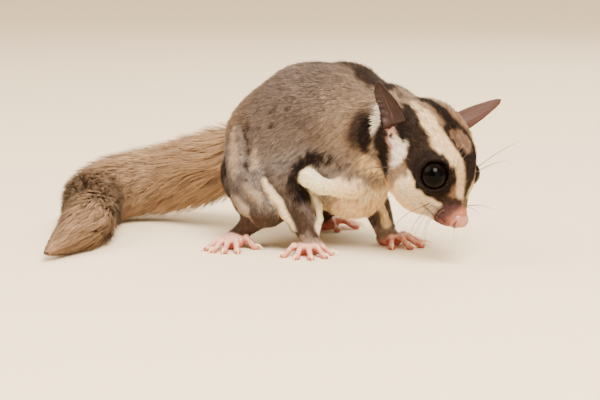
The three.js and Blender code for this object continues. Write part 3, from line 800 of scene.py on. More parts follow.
def coatLie(points, normals, share, tailShare, h):
    # The way the fur lies
    count = len(points)
    flat = np.zeros((count, 1))
    steep = np.abs(normals[:, 1:2])
    flow = np.concatenate([flat - 1, flat, -0.15 - 0.9 * steep], axis=1) * share["torso"][:, None]
    flow += np.concatenate([flat - 1, flat, -0.1 - 0.7 * steep], axis=1) * share["neck"][:, None]
    headFlow = np.concatenate([flat - 1, 0.55 * np.sign(h[:, 1:2]), flat - 0.15], axis=1)
    for side in (-1, 1):
        q = h - eyeCentre(side)
        closeBy = np.exp(-((size(q) - 5) / 3) ** 2)[:, None]
        headFlow += 0.9 * closeBy * unit(q) * (0.4 + 0.6 * (q[:, :1] < 1))
    flow += headFlow @ headTurn.T * share["head"][:, None]
    for name in limbs:
        top, middle, low = [vec(*p) for p in limbs[name]["joints"]]
        below = smoothStep(middle[2] + 3, middle[2] - 3, points[:, 2])[:, None]
        flow += mix(unit(middle - top), unit(low - middle), below) * share[name][:, None]
        flow += vec(0, 0, -1) * share["paw" + name][:, None]
    flow += tailPath.along(tailShare) * share["tail"][:, None]
    for label, side in (("rollRight", -1), ("rollLeft", 1)):
        flow += unit(vec(0.7, side * 0.1, -0.9)) * share[label][:, None] * 1.5
    flow = unit(flow)
    flow += 0.16 * turnWaves(points)[:, None] * np.cross(normals, flow)
    return unit(flow - dot(flow, normals)[:, None] * normals)


def muzzleMask(h):
    up, low = np.maximum(h[:, 2] + 5.4, 0), np.maximum(-5.4 - h[:, 2], 0)
    return smoothStep(-0.9, 0.9, h[:, 0] - 7.9 - 0.14 * up ** 2 - 0.2 * low + 0.4 * edgeWaves(h))


def baldPlace(h, grow=1.0):
    return size((h - vec(-6.4, 1.0, 9.8)) / (grow * vec(2.6, 1.9, 3))) + 0.18 * edgeWaves(h)


def baldMask(h):
    return smoothStep(1.35, 0.55, baldPlace(h))


def onFold(points):
    folds = [foldField(points), legFoldField("foreRight", points), legFoldField("foreLeft", points)]
    return smoothStep(1.5, 0.3, np.minimum.reduce(folds) + 0.2 * edgeWaves(points))


def furLengths(points, share, crease, h):
    fore = np.clip(share["foreRight"] + share["foreLeft"], 0, 1)
    hind = np.clip(share["hindRight"] + share["hindLeft"], 0, 1)
    rolls = share["rollRight"] + share["rollLeft"]
    x, z = points[:, 0], points[:, 2]
    steps = [
        (2.3, share["head"]),
        (1.15, share["head"] * smoothStep(-22, 0, h[:, 0])),
        (1.7, smoothStep(6, -3, x) * smoothStep(44, 36, z)),  # haunches
        (2.8, fore * smoothStep(30, 22, z)),
        (1.6, np.clip(fore + hind, 0, 1) * smoothStep(20, 10, z)),
        (0.9, np.clip(rolls * 1.5, 0, 1)),
        (0.9, onFold(points)),
        (1.2, np.maximum(crease, smoothStep(3.2, 1.4, foldField(points)))),
    ]
    for side in (-1, 1):
        steps.append((0.85, smoothStep(7.6, 5.6, size(h - eyeCentre(side)))))
        steps.append((0.5, smoothStep(3.2, 1.6, size(h - vec(-19.6, side * 13.4, -4.4)))))
    length = np.full(len(points), 3.0)
    for value, mask in steps:
        length = mix(length, value, mask)
    return length


def coatColour(points, normals, share, crease, tailShare):
    h = bodyToHead(points)
    x, z = points[:, 0], points[:, 2]
    uneven = edgeWaves(points)
    fore = share["foreRight"] + share["foreLeft"]
    onFore = np.clip(fore * 1.3, 0, 1)
    onHind = np.clip((share["hindRight"] + share["hindLeft"]) * 1.2, 0, 1)
    onRolls = np.clip((share["rollRight"] + share["rollLeft"]) * 1.6, 0, 1)

    belly = smoothStep(-0.35, -0.9, normals[:, 2] + 0.06 * uneven) * (1 - share["tail"])
    chest = smoothStep(28.5, 21, z + uneven) * smoothStep(21, 30, x) * (1 - fore)
    colour = painted(np.tile(colours["back"], (len(points), 1)), [
        ("rump", smoothStep(-2, -24, x)),
        ("shoulder", smoothStep(16, 32, x)),
        ("flank", smoothStep(42, 28, z) * 0.9),
        ("shade", 0.2 * smoothStep(-0.2, 1.3, broadWaves(points))),
        ("belly", belly),
        (mix(colours["belly"], colours["throat"], smoothStep(20.5, 25, z)[:, None]), chest),
        # painted reflected light: a peach glow over the lower chest
        ("salmon", 0.55 * chest * smoothStep(20, 15.5, z)),
    ])

    cheek = smoothStep(-6.4, -4.6, h[:, 0] + 0.5 * uneven) * smoothStep(-4.0, -5.2, h[:, 2] + 0.4 * uneven)
    headColour = painted(np.tile(colours["head"], (len(points), 1)), [
        ("fawn", smoothStep(-6, -10, h[:, 2] + 0.6 * uneven)),
        ("cream", cheek),
        # painted reflected light: the same peach glow low under the jaw
        ("salmon", 0.55 * smoothStep(-13, -16, h[:, 2]) * smoothStep(-13, -7, h[:, 0])),
    ])
    rings = [size((h - eyeCentre(side) - vec(0, 0, 0.1)) / vec(7.6, 6.9, 6.9)) for side in (-1, 1)]
    colour = painted(colour, [
        (headColour, smoothStep(-24, -19, h[:, 0]) * smoothStep(0.3, 0.6, share["head"])),
        *markLayers(h, headMarks, middleLine, 0.24),
        *[("stripe", smoothStep(1.08, 0.93, ring + 0.04 * uneven)) for ring in rings],
        ("stripe", lineMask(h, leftBranch["points"], leftBranch["wide"], 0.5, 0.2)),
        ("brush", smoothStep(1.4, 0.8, baldPlace(h, 1.2))),
        ("bald", baldMask(h)),
    ])

    streaks = 0.7 * turnWaves(points) + 0.7 * swirlWaves(points * vec(1, 1, 0.5))
    legShade = mix(0.4, 1.0, smoothStep(-0.8, 0.8, streaks))
    front = curveThrough(glidingRolls[0][0], 3)
    ribbon = smoothStep(2.6, 1.6, chainField(mirroredRight(points), front, [0.3] * len(front)))
    crest = np.maximum(smoothStep(0.5, 1.1, torsoField(points) + 0.12 * uneven), ribbon)
    colour = painted(colour, [
        ("leg", onFore * smoothStep(32, 22, z + 1.2 * uneven) * legShade),
        ("leg", onHind * smoothStep(17, 12, z)),
        ("light", 0.7 * onFore * smoothStep(6.6, 4.8, z + 0.7 * uneven)),
        *markLayers(points, bodyMarks),
        (mix(colours["fold"], colours["belly"], smoothStep(24, 29, x)[:, None]), onFold(points)),
        # Painted shade and light on the rolls: dark where they sink towards the torso, pale on their crests;
        # the cream ribbon on the front roll is the skin's own edge
        ("shade", onRolls),
        (mix(colours["light"], colours["cream"], ribbon[:, None]), onRolls * crest),
        # painted shade in the creases between and below the rolls
        *markLayers(points, foldCreaseShade, wander=0.2),
        # painted shade where rolls, torso and forelegs meet, and between the rolls
        ("patch", 0.85 * crease * (1 - share["head"])),
        (tailTint(tailShare), share["tail"]),
    ])

    bridge = smoothStep(2.6, 0.8, np.abs(h[:, 1])) * smoothStep(-5, -3, h[:, 2])
    pad = size((h - vec(*noseLook["at"])) / vec(*noseLook["radii"])) + 0.03 * edgeWaves(h)
    mouth = chainField(h, mouthPoints, [0.4] * len(mouthPoints))
    pawLitTop = smoothStep(-0.3, 0.9, normals[:, 2] + 0.25 * uneven)[:, None]
    return painted(colour, [
        ("muzzle", muzzleMask(h)),
        (mix(colours["muzzle"], colours["nosePink"], 0.5), smoothStep(9.5, 12.6, h[:, 0]) * bridge),
        ("nosePink", 0.75 * smoothStep(1.5, 1.08, pad)),
        ("lip", 0.7 * smoothStep(0.9, 0.2, mouth) * smoothStep(2, 6, h[:, 0])),
        # painted shade: the paws darker on their sides, undersides and between the digits, pale pink on top
        (mix(colours["pawCrease"], colours["pink"], pawLitTop), pawSkin(share, z)),
    ])


def pawSkin(share, z):
    paws = sum(share["paw" + name] for name in limbs)
    return np.clip(paws * 1.4 - 0.2, 0, 1) * smoothStep(6.3, 4.2, z)


def coatPlan(points, normals):
    # What grows at each point of the skin: colour, lie, length, width and how bare it is
    h = bodyToHead(points)
    share, crease = skinShares(points, h)
    tailShare, _ = tailPath.nearest(points)
    flow = coatLie(points, normals, share, tailShare, h)
    masks = [pawSkin(share, points[:, 2]), 0.6 * muzzleMask(h), 0.6 * baldMask(h)]
    masks.append(smoothStep(10, 11.5, h[:, 0]))  # nose
    masks += [0.85 * smoothStep(2.4, 1.4, size(h - vec(-19.2, side * 13.4, -4.6))) for side in (-1, 1)]
    bare = np.maximum.reduce(masks)
    length = furLengths(points, share, crease, h) * (1 - 0.5 * bare)
    # The fur shows the colour of the skin that its middle lies over
    over = points + flow * length[:, None] * 0.7
    furColour = coatColour(over, normals, share, crease, tailShare)
    return {
        "colour": coatColour(points, normals, share, crease, tailShare),
        "furColour": furColour * (1 - 0.4 * muzzleMask(h))[:, None],
        "flow": flow, "length": length, "width": 0.13 + 0.028 * length, "bare": bare, "share": share,
    }


def tailTint(share):
    return mix(colours["tail"], colours["tailEnd"], smoothStep(0.6, 1, share)[:, None])


# Shader group shared by the coats


def newGroup(name, inputs, outputs):
    group = bpy.data.node_groups.new(name, "ShaderNodeTree")
    for label, kind, value in inputs:
        socket = group.interface.new_socket(label, in_out="INPUT", socket_type=kind)
        socket.default_value = value
    for label, kind in outputs:
        group.interface.new_socket(label, in_out="OUTPUT", socket_type=kind)
    return group, group.nodes.new("NodeGroupInput"), group.nodes.new("NodeGroupOutput")


def mottleGroup():
    # Uneven shade of a natural surface: the colour, lighter and darker by a noise
    inputs = [("Colour", "NodeSocketColor", (0.5, 0.5, 0.5, 1)), ("Scale", "NodeSocketFloat", 400.0),
              ("Amount", "NodeSocketFloat", 0.3)]
    outputs = [("Colour", "NodeSocketColor"), ("Mask", "NodeSocketFloat")]
    group, start, end = newGroup("mottle", inputs, outputs)
    nodes, links = group.nodes, group.links
    place = nodes.new("ShaderNodeTexCoord")
    noise = nodes.new("ShaderNodeTexNoise")
    noise.inputs["Detail"].default_value = 3
    links.new(place.outputs["Object"], noise.inputs["Vector"])
    links.new(start.outputs["Scale"], noise.inputs["Scale"])
    spread = nodes.new("ShaderNodeMapRange")
    for label, value in {"From Min": 0.3, "From Max": 0.7, "To Min": -1, "To Max": 1}.items():
        spread.inputs[label].default_value = value
    links.new(noise.outputs["Fac"], spread.inputs["Value"])
    amount = nodes.new("ShaderNodeMath")
    amount.operation = "MULTIPLY_ADD"
    amount.inputs[2].default_value = 1.0
    links.new(spread.outputs["Result"], amount.inputs[0])
    links.new(start.outputs["Amount"], amount.inputs[1])
    shade = nodes.new("ShaderNodeVectorMath")
    shade.operation = "SCALE"
    links.new(start.outputs["Colour"], shade.inputs[0])
    links.new(amount.outputs[0], shade.inputs["Scale"])
    links.new(shade.outputs[0], end.inputs["Colour"])
    links.new(noise.outputs["Fac"], end.inputs["Mask"])
    return group


mottle = mottleGroup()


def newMaterial(name, roughness, **sockets):
    material = bpy.data.materials.new(name)
    material.use_nodes = True
    shader = material.node_tree.nodes["Principled BSDF"]
    shader.inputs["Roughness"].default_value = roughness
    for label, value in sockets.items():
        shader.inputs[label].default_value = value
    return material, material.node_tree.nodes, material.node_tree.links, shader


def useGroup(nodes, group, **values):
    node = nodes.new("ShaderNodeGroup")
    node.node_tree = group
    for label, value in values.items():
        node.inputs[label].default_value = value
    return node


def attributeColour(nodes, name):
    node = nodes.new("ShaderNodeAttribute")
    node.attribute_name = name
    return node


def coatMaterial(name, roughness, scale, amount):
    material, nodes, links, shader = newMaterial(name, roughness, **{
        "Specular IOR Level": 0.08, "Sheen Weight": 0.01, "Sheen Roughness": 0.5})
    tint = useGroup(nodes, mottle, Scale=scale, Amount=amount)
    links.new(attributeColour(nodes, "coatColour").outputs["Color"], tint.inputs["Colour"])
    links.new(tint.outputs["Colour"], shader.inputs["Base Color"])
    return material


# The skin

points, quads = skinMesh()
print("skin:", len(points), "points")
skinMaterial = coatMaterial("skinUnderCoat", 0.6, 700.0, 0.2)
skin = newPiece("skin", points, quads, skinMaterial)
fleshNodes = ["head", "neck", "torso", "gliding_skin_right", "gliding_skin_left"]
fleshNodes += [f"{part}_{side}" for part in ("upper_arm", "forearm", "hand", "thigh", "shank", "foot")
               for side in ("right", "left")]
fleshNodes += [f"tail_{part}" for part in ("base", "middle", "end", "tip")]
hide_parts(*fleshNodes)
skinNormals = vertexNormals(skin.data)
plan = coatPlan(points, skinNormals)
# Painted shade: the skin under the fur is darker, bare skin and the skin under the tail hair almost as it is
underFurShade = mix(0.62, 1.0, np.maximum(plan["bare"], 0.9 * plan["share"]["tail"]))[:, None]
addColours(skin.data, plan["colour"] * underFurShade)
print("skin coloured")


# Tufts: thin closed spikes that follow the lie of the coat

coatLook = {
    "tufts": 250000, "lift": 16, "liftSpread": 7, "clumpEvery": 12, "clumpPull": 0.28, "largest": 49000,
    "sunk": 0.2, "shadeSpread": 0.19, "clumpSpread": 0.13, "rootShade": 0.45, "tipShade": 1.2,
    "bakePatch": 0.003,
}


def sampleSkin(count, density):
    # Even draws over the skin, by area and density
    corners = points[quads]
    area = size(np.cross(corners[:, 2] - corners[:, 0], corners[:, 3] - corners[:, 1])) / 2
    weight = area * density[quads].mean(axis=1)
    total = np.cumsum(weight)
    spots = (np.arange(count) + random.uniform(0, 1, count)) / count * total[-1]
    face = np.minimum(np.searchsorted(total, spots), len(quads) - 1)
    a, b = random.uniform(0, 1, (2, count))
    shares = np.stack([(1 - a) * (1 - b), a * (1 - b), a * b, (1 - a) * b], axis=1)
    return face, shares


def takeAt(values, face, shares):
    rows = values[quads[face]]
    if rows.ndim == 2:
        return (rows * shares).sum(axis=1)
    return (rows * shares[..., None]).sum(axis=1)


def clumpCentres(roots, every):
    picked = roots[::every]
    tree = KDTree(len(picked))
    for i, spot in enumerate(picked.tolist()):
        tree.insert(spot, i)
    tree.balance()
    nearest = np.array([tree.find(spot)[1] for spot in roots.tolist()])
    return picked[nearest], nearest


def tuftPiece(name, tufts, flat, material):
    # Closed spikes: three corners round each station of the centre line, and the tip at the last one
    centres, normals, shades = tufts["centres"], tufts["normals"], tufts["shades"]
    count, stations = centres.shape[:2]
    rings = stations - 1
    per = 3 * rings + 1
    verts, vertNormals, vertShades = np.zeros((3, count, per, 3))
    maps = np.zeros((count, per, 2))
    patch = coatLook["bakePatch"]
    for r in range(rings):
        wide = tufts["halfWidths"][:, r, None]
        for c, (across, above) in enumerate([(-1.0, -0.5), (1.0, -0.5), (0.0, 1.0)]):
            k = 3 * r + c
            push = tufts["sides"][:, r] * (across * wide) + tufts["ups"][:, r] * (above * flat * wide)
            verts[:, k] = centres[:, r] + push
            vertNormals[:, k] = unit(normals + 0.55 * unit(push + 1e-9))
            vertShades[:, k] = shades[:, r]
            maps[:, k] = tufts["unwrap"] + vec(patch * c / 2, patch * r / rings)
    verts[:, -1], vertNormals[:, -1], vertShades[:, -1] = centres[:, -1], normals, shades[:, -1]
    maps[:, -1] = tufts["unwrap"] + vec(patch / 2, patch)
    top = 3 * (rings - 1)
    faces = [(0, 2, 1), *ringFaces(rings, 3), *[(top + c, top + (c + 1) % 3, per - 1) for c in range(3)]]
    piece = newPiece(name, verts.reshape(-1, 3), faces, material, vertShades, count)
    layer = piece.data.uv_layers.new(name="OFBake")
    layer.uv.foreach_set("vector", maps[:, np.concatenate(faces)].astype(np.float32).ravel())
    piece.data.normals_split_custom_set_from_vertices(unit(vertNormals.reshape(-1, 3)).astype(np.float32))


def roundMap(across, up, along):
    # An unwrap round an axis, and its place along it
    return np.stack([(np.arctan2(across, up) / (2 * math.pi) + 0.5) * 0.99, along], axis=1)


def bodyCoat(material):
    density = (1 - plan["bare"]) * (1 - plan["share"]["tail"]) * (0.3 + 1.6 / np.maximum(plan["length"], 0.7))
    face, shares = sampleSkin(coatLook["tufts"], density)
    roots = takeAt(points, face, shares)
    count = len(roots)
    normal = unit(takeAt(skinNormals, face, shares))
    flow = takeAt(plan["flow"], face, shares)
    flow = unit(flow - dot(flow, normal)[:, None] * normal)
    length = takeAt(plan["length"], face, shares)
    calm = 1 - smoothStep(24, 30, roots[:, 0]) * smoothStep(40, 34, roots[:, 2])
    wander = 0.14 * random.normal(size=count) + 0.14 * swirlWaves(roots) * smoothStep(1.5, 3, length) * calm
    flow = unit(flow + wander[:, None] * np.cross(normal, flow))
    length = length * random.uniform(0.7, 1.2, count)
    width = takeAt(plan["width"], face, shares) * random.uniform(0.75, 1.25, count)
    lift = coatLook["lift"] + coatLook["liftSpread"] * random.normal(size=count)
    lift = np.radians(lift + 3 * calm * swirlWaves(roots + 50))[:, None]
    centre, clump = clumpCentres(roots, coatLook["clumpEvery"])
    toCentre = centre - roots
    toCentre -= dot(toCentre, normal)[:, None] * normal
    tip = roots + (flow * np.cos(lift) + normal * np.sin(lift)) * length[:, None]
    tip += toCentre * (coatLook["clumpPull"] * smoothStep(0.9, 1.8, length))[:, None]
    tip[:, 2] = np.maximum(tip[:, 2], 0.15)

    # Tints: odd hairs of fawn, clumps and single hairs lighter or darker, dark roots and pale tips
    tint = takeAt(plan["furColour"], face, shares)
    longFur = smoothStep(0.8, 2.0, length)
    clumpShade = random.normal(size=clump.max() + 1)[clump]
    odd = random.uniform(0, 1, count)
    blend = 0.3 * smoothStep(0.84, 0.88, odd) + 0.35 * smoothStep(0.95, 0.98, odd)
    blend *= mix(0.25, 1.0, smoothStep(0.02, 0.1, tint.mean(axis=1)))
    tint = mix(tint, colours["fawn"], blend[:, None])
    shade = coatLook["shadeSpread"] * random.normal(size=count)
    shade += coatLook["clumpSpread"] * clumpShade * mix(0.2, 1.0, longFur)
    shade += 0.1 * fleckWaves(roots) * mix(0.4, 1.0, longFur)
    tint = np.minimum(tint * np.clip(1 + shade * mix(0.5, 1.0, longFur), 0.45, 1.6)[:, None], 0.95)
    dark = mix(0.92, coatLook["rootShade"], smoothStep(0.8, 2.6, length))[:, None]
    pale = mix(1.05, coatLook["tipShade"], longFur)[:, None]

    # Zones, each with an unwrap of its own round the body, the head or a limb
    share = {name: takeAt(value, face, shares) for name, value in plan["share"].items()}
    h = bodyToHead(roots)
    x, y, z = roots.T
    onHead = (share["head"] > 0.5) & (h[:, 0] > -22)
    free = ~onHead
    zones = []
    for name in (*limbs, "rollRight", "rollLeft"):
        if name in limbs:
            mask = free & (share[name] + share["paw" + name] > 0.5)
            axis = limbs[name]["joints"][1]
        else:
            mask = free & (share[name] > 0.5)
            axis = (4, -24 if name == "rollRight" else 24)
        free &= ~mask
        zones.append((name, mask, roundMap(y - axis[1], x - axis[0], z / 45)))
    zones.append(("head", onHead, roundMap(h[:, 1], h[:, 2] + 4, (h[:, 0] + 34) / 52)))
    for label, half in (("Right", y < 0), ("Left", y >= 0)):
        for part, place in (("front", x > 12), ("rear", x <= 12)):
            zones.append((part + label, free & half & place, roundMap(y, z - 32, (x + 34) / 92)))

    tufts = {
        "centres": np.stack([roots - normal * coatLook["sunk"], tip], axis=1),
        "sides": np.repeat(np.cross(normal, flow)[:, None], 2, axis=1),
        "ups": np.repeat(normal[:, None], 2, axis=1),
        "halfWidths": np.stack([width, width * 0], axis=1),
        "shades": np.stack([tint * dark, np.minimum(tint * pale, 0.97)], axis=1),
        "normals": normal,
    }
    for name, mask, unwrap in zones:
        index = np.flatnonzero(mask)
        index = index[np.argsort(x[index], kind="stable")]
        parts = math.ceil(len(index) / coatLook["largest"])
        for i, chosen in enumerate(np.array_split(index, parts)):
            label = f"coat_{name}" + (f"_{i + 1}" if parts > 1 else "")
            picked = {key: rows[chosen] for key, rows in tufts.items()}
            tuftPiece(label, {**picked, "unwrap": unwrap[chosen]}, 0.45, material)
    print("coat:", count, "tufts")


furMaterial = coatMaterial("shortFur", 0.62, 900.0, 0.14)
bodyCoat(furMaterial)


# Tail hair: long, soft, rising from the core and lying back along the tail

tailLook = {
    "hairs": 38000, "length": (13, 24), "halfWidth": 0.2, "sway": 0.3, "pull": 0.42, "clump": 0.42,
    "shades": (0.82, 0.98, 1.2), "largest": 19000,
}


def tailCoat(material):
    count = tailLook["hairs"]
    share = np.clip(random.uniform(-0.02, 0.97, count), 0, 1)
    share[::4] = random.uniform(0.26, 0.58, len(share[::4]))  # the outer side of the curl takes more
    share = np.sort(share)
    turn = random.uniform(0, 2 * math.pi, count)
    length = random.uniform(*tailLook["length"], count) * np.clip(tailRadius(share) / tail["full"], 0.35, 1)
    out = random.uniform(0.55, 1.02, count)
    clump = np.round(turn / tailLook["clump"])
    sway = Waves(0.8, 6, 31)
    rows = {"centres": [], "sides": [], "ups": []}
    for t in (0, 0.45, 1):
        spot = share + t * length / tailPath.length * 0.93
        along = tailPath.along(np.minimum(spot, 0.999))
        left = unit(np.cross(vec(0, 0, 1), along))
        above = np.cross(along, left)
        pull = (clump * tailLook["clump"] - turn) * tailLook["pull"] * t
        swing = tailLook["sway"] * t * sway(np.stack([share * 9, turn, 0 * turn], axis=1)) * 0.6
        bent = turn + pull + swing
        radial = left * np.cos(bent)[:, None] + above * np.sin(bent)[:, None]
        past = np.maximum(spot - 1, 0) * tailPath.length
        closing = np.clip(1 - past / 7, 0.05, 1) * smoothStep(1.06, 0.95, spot)
        rise = tailRadius(np.minimum(spot, 1)) * mix(tail["core"] * 0.9, out, 1 - (1 - t) ** 1.7)
        rise = rise * np.maximum(closing, 0.1)
        middle = tailPath.at(np.minimum(spot, 1)) + along * past[:, None]
        rows["centres"].append(middle + radial * rise[:, None])
        rows["sides"].append(np.cross(radial, along))
        rows["ups"].append(radial)
    tufts = {key: np.stack(values, axis=1) for key, values in rows.items()}
    low = 0.15 + 0.5 * random.uniform(0, 1, (count, 1))
    tufts["centres"][..., 2] = np.maximum(tufts["centres"][..., 2], low)
    width = tailLook["halfWidth"] * random.uniform(0.7, 1.3, count)
    tufts["halfWidths"] = np.stack([width, width, width * 0], axis=1)
    _, group = np.unique((clump * 1000 + np.round(share * 38)).astype(int), return_inverse=True)
    shade = 1 + 0.12 * random.normal(size=count) + 0.12 * random.normal(size=group.max() + 1)[group]
    tint = tailTint(share) * np.clip(shade, 0.5, 1.6)[:, None]
    tufts["shades"] = np.stack([tint * shade for shade in tailLook["shades"]], axis=1)
    tufts["unwrap"] = np.stack([turn / (2 * math.pi) * 0.99, share * 0.98], axis=1)
    tufts["normals"] = unit(tufts["ups"][:, 1])
    for i, chosen in enumerate(np.array_split(np.arange(count), math.ceil(count / tailLook["largest"]))):
        picked = {key: values[chosen] for key, values in tufts.items()}
        tuftPiece(f"coat_tail_{i + 1}", picked, 0.5, material)
    print("tail:", count, "hairs")


tailCoat(coatMaterial("tailHair", 0.6, 500.0, 0.12))


# Face: eyes, lids, nose, ears and whiskers, all built in the head's frame


def attributeMaterial(name, roughness, **sockets):
    material, nodes, links, shader = newMaterial(name, roughness, **sockets)
    links.new(attributeColour(nodes, "coatColour").outputs["Color"], shader.inputs["Base Color"])
    return material


def frameAlong(way, hint):
    z = unit(way)
    x = unit(hint - (hint @ z) * z)
    return x, np.cross(z, x), z


def ringRound(x, y, turns):
    # Places on a ring of radius 1 across the ways x and y
    return x[..., None, :] * np.cos(turns)[:, None] + y[..., None, :] * np.sin(turns)[:, None]


def ringPiece(name, rows, tints, material):
    # Rings of points in the animal's frame, with one more point that closes each end
    rings, count = rows.shape[:2]
    points, colour = [np.vstack([values.reshape(-1, 3), values[0].mean(axis=0), values[-1].mean(axis=0)])
                      for values in (rows, tints)]
    j = np.arange(count)
    beside, top = (j + 1) % count, (rings - 1) * count
    low = np.stack([beside, j, np.full_like(j, rings * count)], axis=-1)
    high = np.stack([top + j, top + beside, np.full_like(j, rings * count + 1)], axis=-1)
    return newPiece(name, points, [*ringFaces(rings, count), *low, *high], material, colour)


eyeColours = {
    "pupil": linear(1, 1, 2), "iris": linear(6, 3, 2), "irisRim": linear(13, 6, 4), "edge": linear(3, 2, 3),
    # The pale rim colour on the next line is a painted glint
    "rim": linear(22, 18, 19), "rimPale": linear(122, 114, 120), "pupilSize": 27, "irisSize": 58,
}
lidLook = {"ring": 4.74, "thick": 0.2, "duct": 16, "sunk": 0.08}


def eyeball(side, label):
    x, y, z = frameAlong(gaze(side), vec(0, 0, 1))
    tilt = np.linspace(0.5, 179.5, 76)
    turn = np.radians(np.arange(72) * 5)
    rad = np.radians(tilt)[:, None, None]
    reach = eyeLook["radius"] * (1 + 0.035 * np.exp(-(tilt / 34) ** 2))  # the cornea stands out
    rows = eyeCentre(side) + reach[:, None, None] * (np.sin(rad) * ringRound(x, y, turn) + np.cos(rad) * z)
    streak = 0.75 + 0.25 * np.sin(turn * 23) * np.sin(turn * 11 + 1)
    tilt = tilt[:, None, None]
    pupil, iris = eyeColours["pupilSize"], eyeColours["irisSize"]
    tone = mix(eyeColours["iris"], eyeColours["irisRim"], smoothStep(34, 54, tilt)) * streak[:, None]
    colour = mix(eyeColours["pupil"], tone, smoothStep(pupil - 2, pupil + 2, tilt))
    colour = mix(colour, eyeColours["edge"], smoothStep(iris - 3, iris + 3, tilt))
    piece = ringPiece(f"eyeball_{label}", headToBody(rows[::-1]), colour[::-1], eyeMaterial)
    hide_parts(f"eye_{label}")


def lidRim(side, label):
    # Wet dark rim of the opening, thicker at the tear duct, with painted glints
    x, y, z = frameAlong(gaze(side), vec(1, 0, -0.55))
    turns, section = np.radians(np.arange(0, 360, 4)), np.radians(np.arange(0, 360, 30))
    duct = np.exp(-((np.degrees(turns) + 180) % 360 - 180) ** 2 / (2 * lidLook["duct"] ** 2))
    lid = eyeLook["lids"][side] - lidLook["sunk"]
    middle = eyeCentre(side) + z * lid + (lidLook["ring"] + 0.5 * duct)[:, None] * ringRound(x, y, turns)
    middle -= z * (0.25 * duct)[:, None]
    outward = unit(middle - eyeCentre(side) - z * lid)
    thick = lidLook["thick"] + 0.16 * duct
    rows = middle[:, None] + thick[:, None, None] * ringRound(outward, z, section)
    # painted glints: on the side away from the tear duct and at the duct, on the rim's face turned out along
    # the gaze
    shine = np.clip(0.2 + 0.8 * (smoothStep(0.0, 0.9, -np.cos(turns + 0.5)) + 0.8 * duct), 0, 1)
    pale = smoothStep(0.2, 1, np.sin(section))[:, None] * shine[:, None, None]
    faces = ringFaces(len(turns), len(section), closed=True)[:, ::-side]
    newPiece(f"lid_{label}", headToBody(rows).reshape(-1, 3), faces, rimMaterial,
             mix(eyeColours["rim"], eyeColours["rimPale"], pale))


def nostrilLine(side):
    middle = vec(*noseLook["at"])
    spots = [onSkin(noseBody, middle, unit(vec(*p) - middle)) for p in onSide(noseLook["nostril"], side)]
    return curveThrough(spots, 4)


def noseBody(h):
    at, radii = noseLook["wing"]
    parts = [ellipsoidField(h, vec(*noseLook["at"]), vec(*noseLook["radii"]))]
    parts += [ellipsoidField(h, vec(*at) * vec(1, side, 1), vec(*radii)) for side in (-1, 1)]
    return cutOut(merged(parts, 1.0), barField(h, *noseLook["cleft"]), 0.7)


def noseField(h):
    total = noseBody(h)
    for side in (-1, 1):
        total = cutOut(total, chainField(h, nostrilLine(side), noseLook["slit"]), 0.25)
    return total


def nosePad():
    low, high = vec(9.2, -4.2, -9.4), vec(17, 4.2, -1.6)
    block = Block(low, high, noseLook["step"], 1.5)
    block.add(noseField, low, high, 0.01)
    spots, faces = block.skin()
    piece = newPiece("nose_skin", headToBody(spots), faces, noseMaterial)
    normals = vertexNormals(piece.data) @ headTurn
    x, y, z = spots.T
    slits = [chainField(spots, nostrilLine(side), noseLook["slit"]) for side in (-1, 1)]
    cleft = barField(spots, *noseLook["cleft"])
    addColours(piece.data, painted(np.tile(colours["nosePink"], (len(spots), 1)), [
        ("noseUnder", smoothStep(-5.2, -8.0, z) * 0.85),
        # painted highlight on the upward faces of the pad's front
        ("noseTop", smoothStep(0.3, 0.9, normals[:, 2]) * smoothStep(13.4, 15, x) * 0.7),
        ("noseRear", smoothStep(14.2, 11.8, x) * 0.8),
        ("noseWing", smoothStep(14.2, 12.0, x) * 0.85 * smoothStep(0.8, 2.4, np.abs(y))),
        # painted shade inside the nostril slits
        *[("nostril", smoothStep(0.18, -0.02, slit)) for slit in slits],
        ("cleft", smoothStep(0.3, 0.0, cleft) * 0.7),
        ("muzzle", smoothStep(12.6, 11.0, x + 0.3 * edgeWaves(spots))),
    ]))
    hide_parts("nose")


# The ears: half widths at the shares of the length, from the root to the tip
earLook = {
    "shares": (0, 0.08, 0.2, 0.34, 0.54, 0.7, 0.86, 0.95, 1),
    "turn": 74, "thick": 0.34, "rows": 64, "across": 40,
}
ears = {
    "right": {
        "base": (-19.65, -14.1, -2.3), "tip": (-33.6, -17.9, 3.7), "face": (0.3, -0.9, 0.25), "rear": -1,
        "folds": 1, "cups": (0.9, 2.2, 0.8), "hairs": 3200, "furHigh": 0.3, "seed": 91,
        "frontWidths": (3.0, 4.9, 4.7, 4.5, 3.7, 2.5, 1.3, 0.75, 0.15),
        "rearWidths": (2.2, 2.8, 2.7, 2.5, 2.6, 2.8, 2.3, 1.5, 0.3),
        "skin": linear(72, 42, 31), "darkness": (0.3, 0.23, 0.23),
    },
    "left": {
        "base": (-16.7, 11.1, 0.8), "tip": (-19.0, 26.3, 15.0), "face": (0.2, 0.6, -0.65), "rear": 1,
        "folds": 0.15, "cups": (3.4, 2.6, 0.8), "hairs": 1500, "furHigh": 0.2, "seed": 92,
        "frontWidths": (3.8, 4.0, 4.0, 3.7, 3.2, 2.5, 1.7, 1.1, 0.2),
        "rearWidths": (3.8, 4.0, 4.0, 3.7, 3.2, 2.5, 1.7, 1.1, 0.2),
        "skin": linear(112, 74, 60), "darkness": (0.38, 0.3, 0.28),
    },
}
earColours = {
    "fold": linear(54, 28, 25), "stripe": linear(104, 66, 58), "root": linear(84, 46, 42),
    "front": linear(66, 44, 32), "ridge": linear(128, 100, 90), "rim": linear(44, 26, 20),
    "tip": linear(52, 31, 24), "outer": linear(104, 70, 56), "outerRoot": linear(44, 31, 24),
}


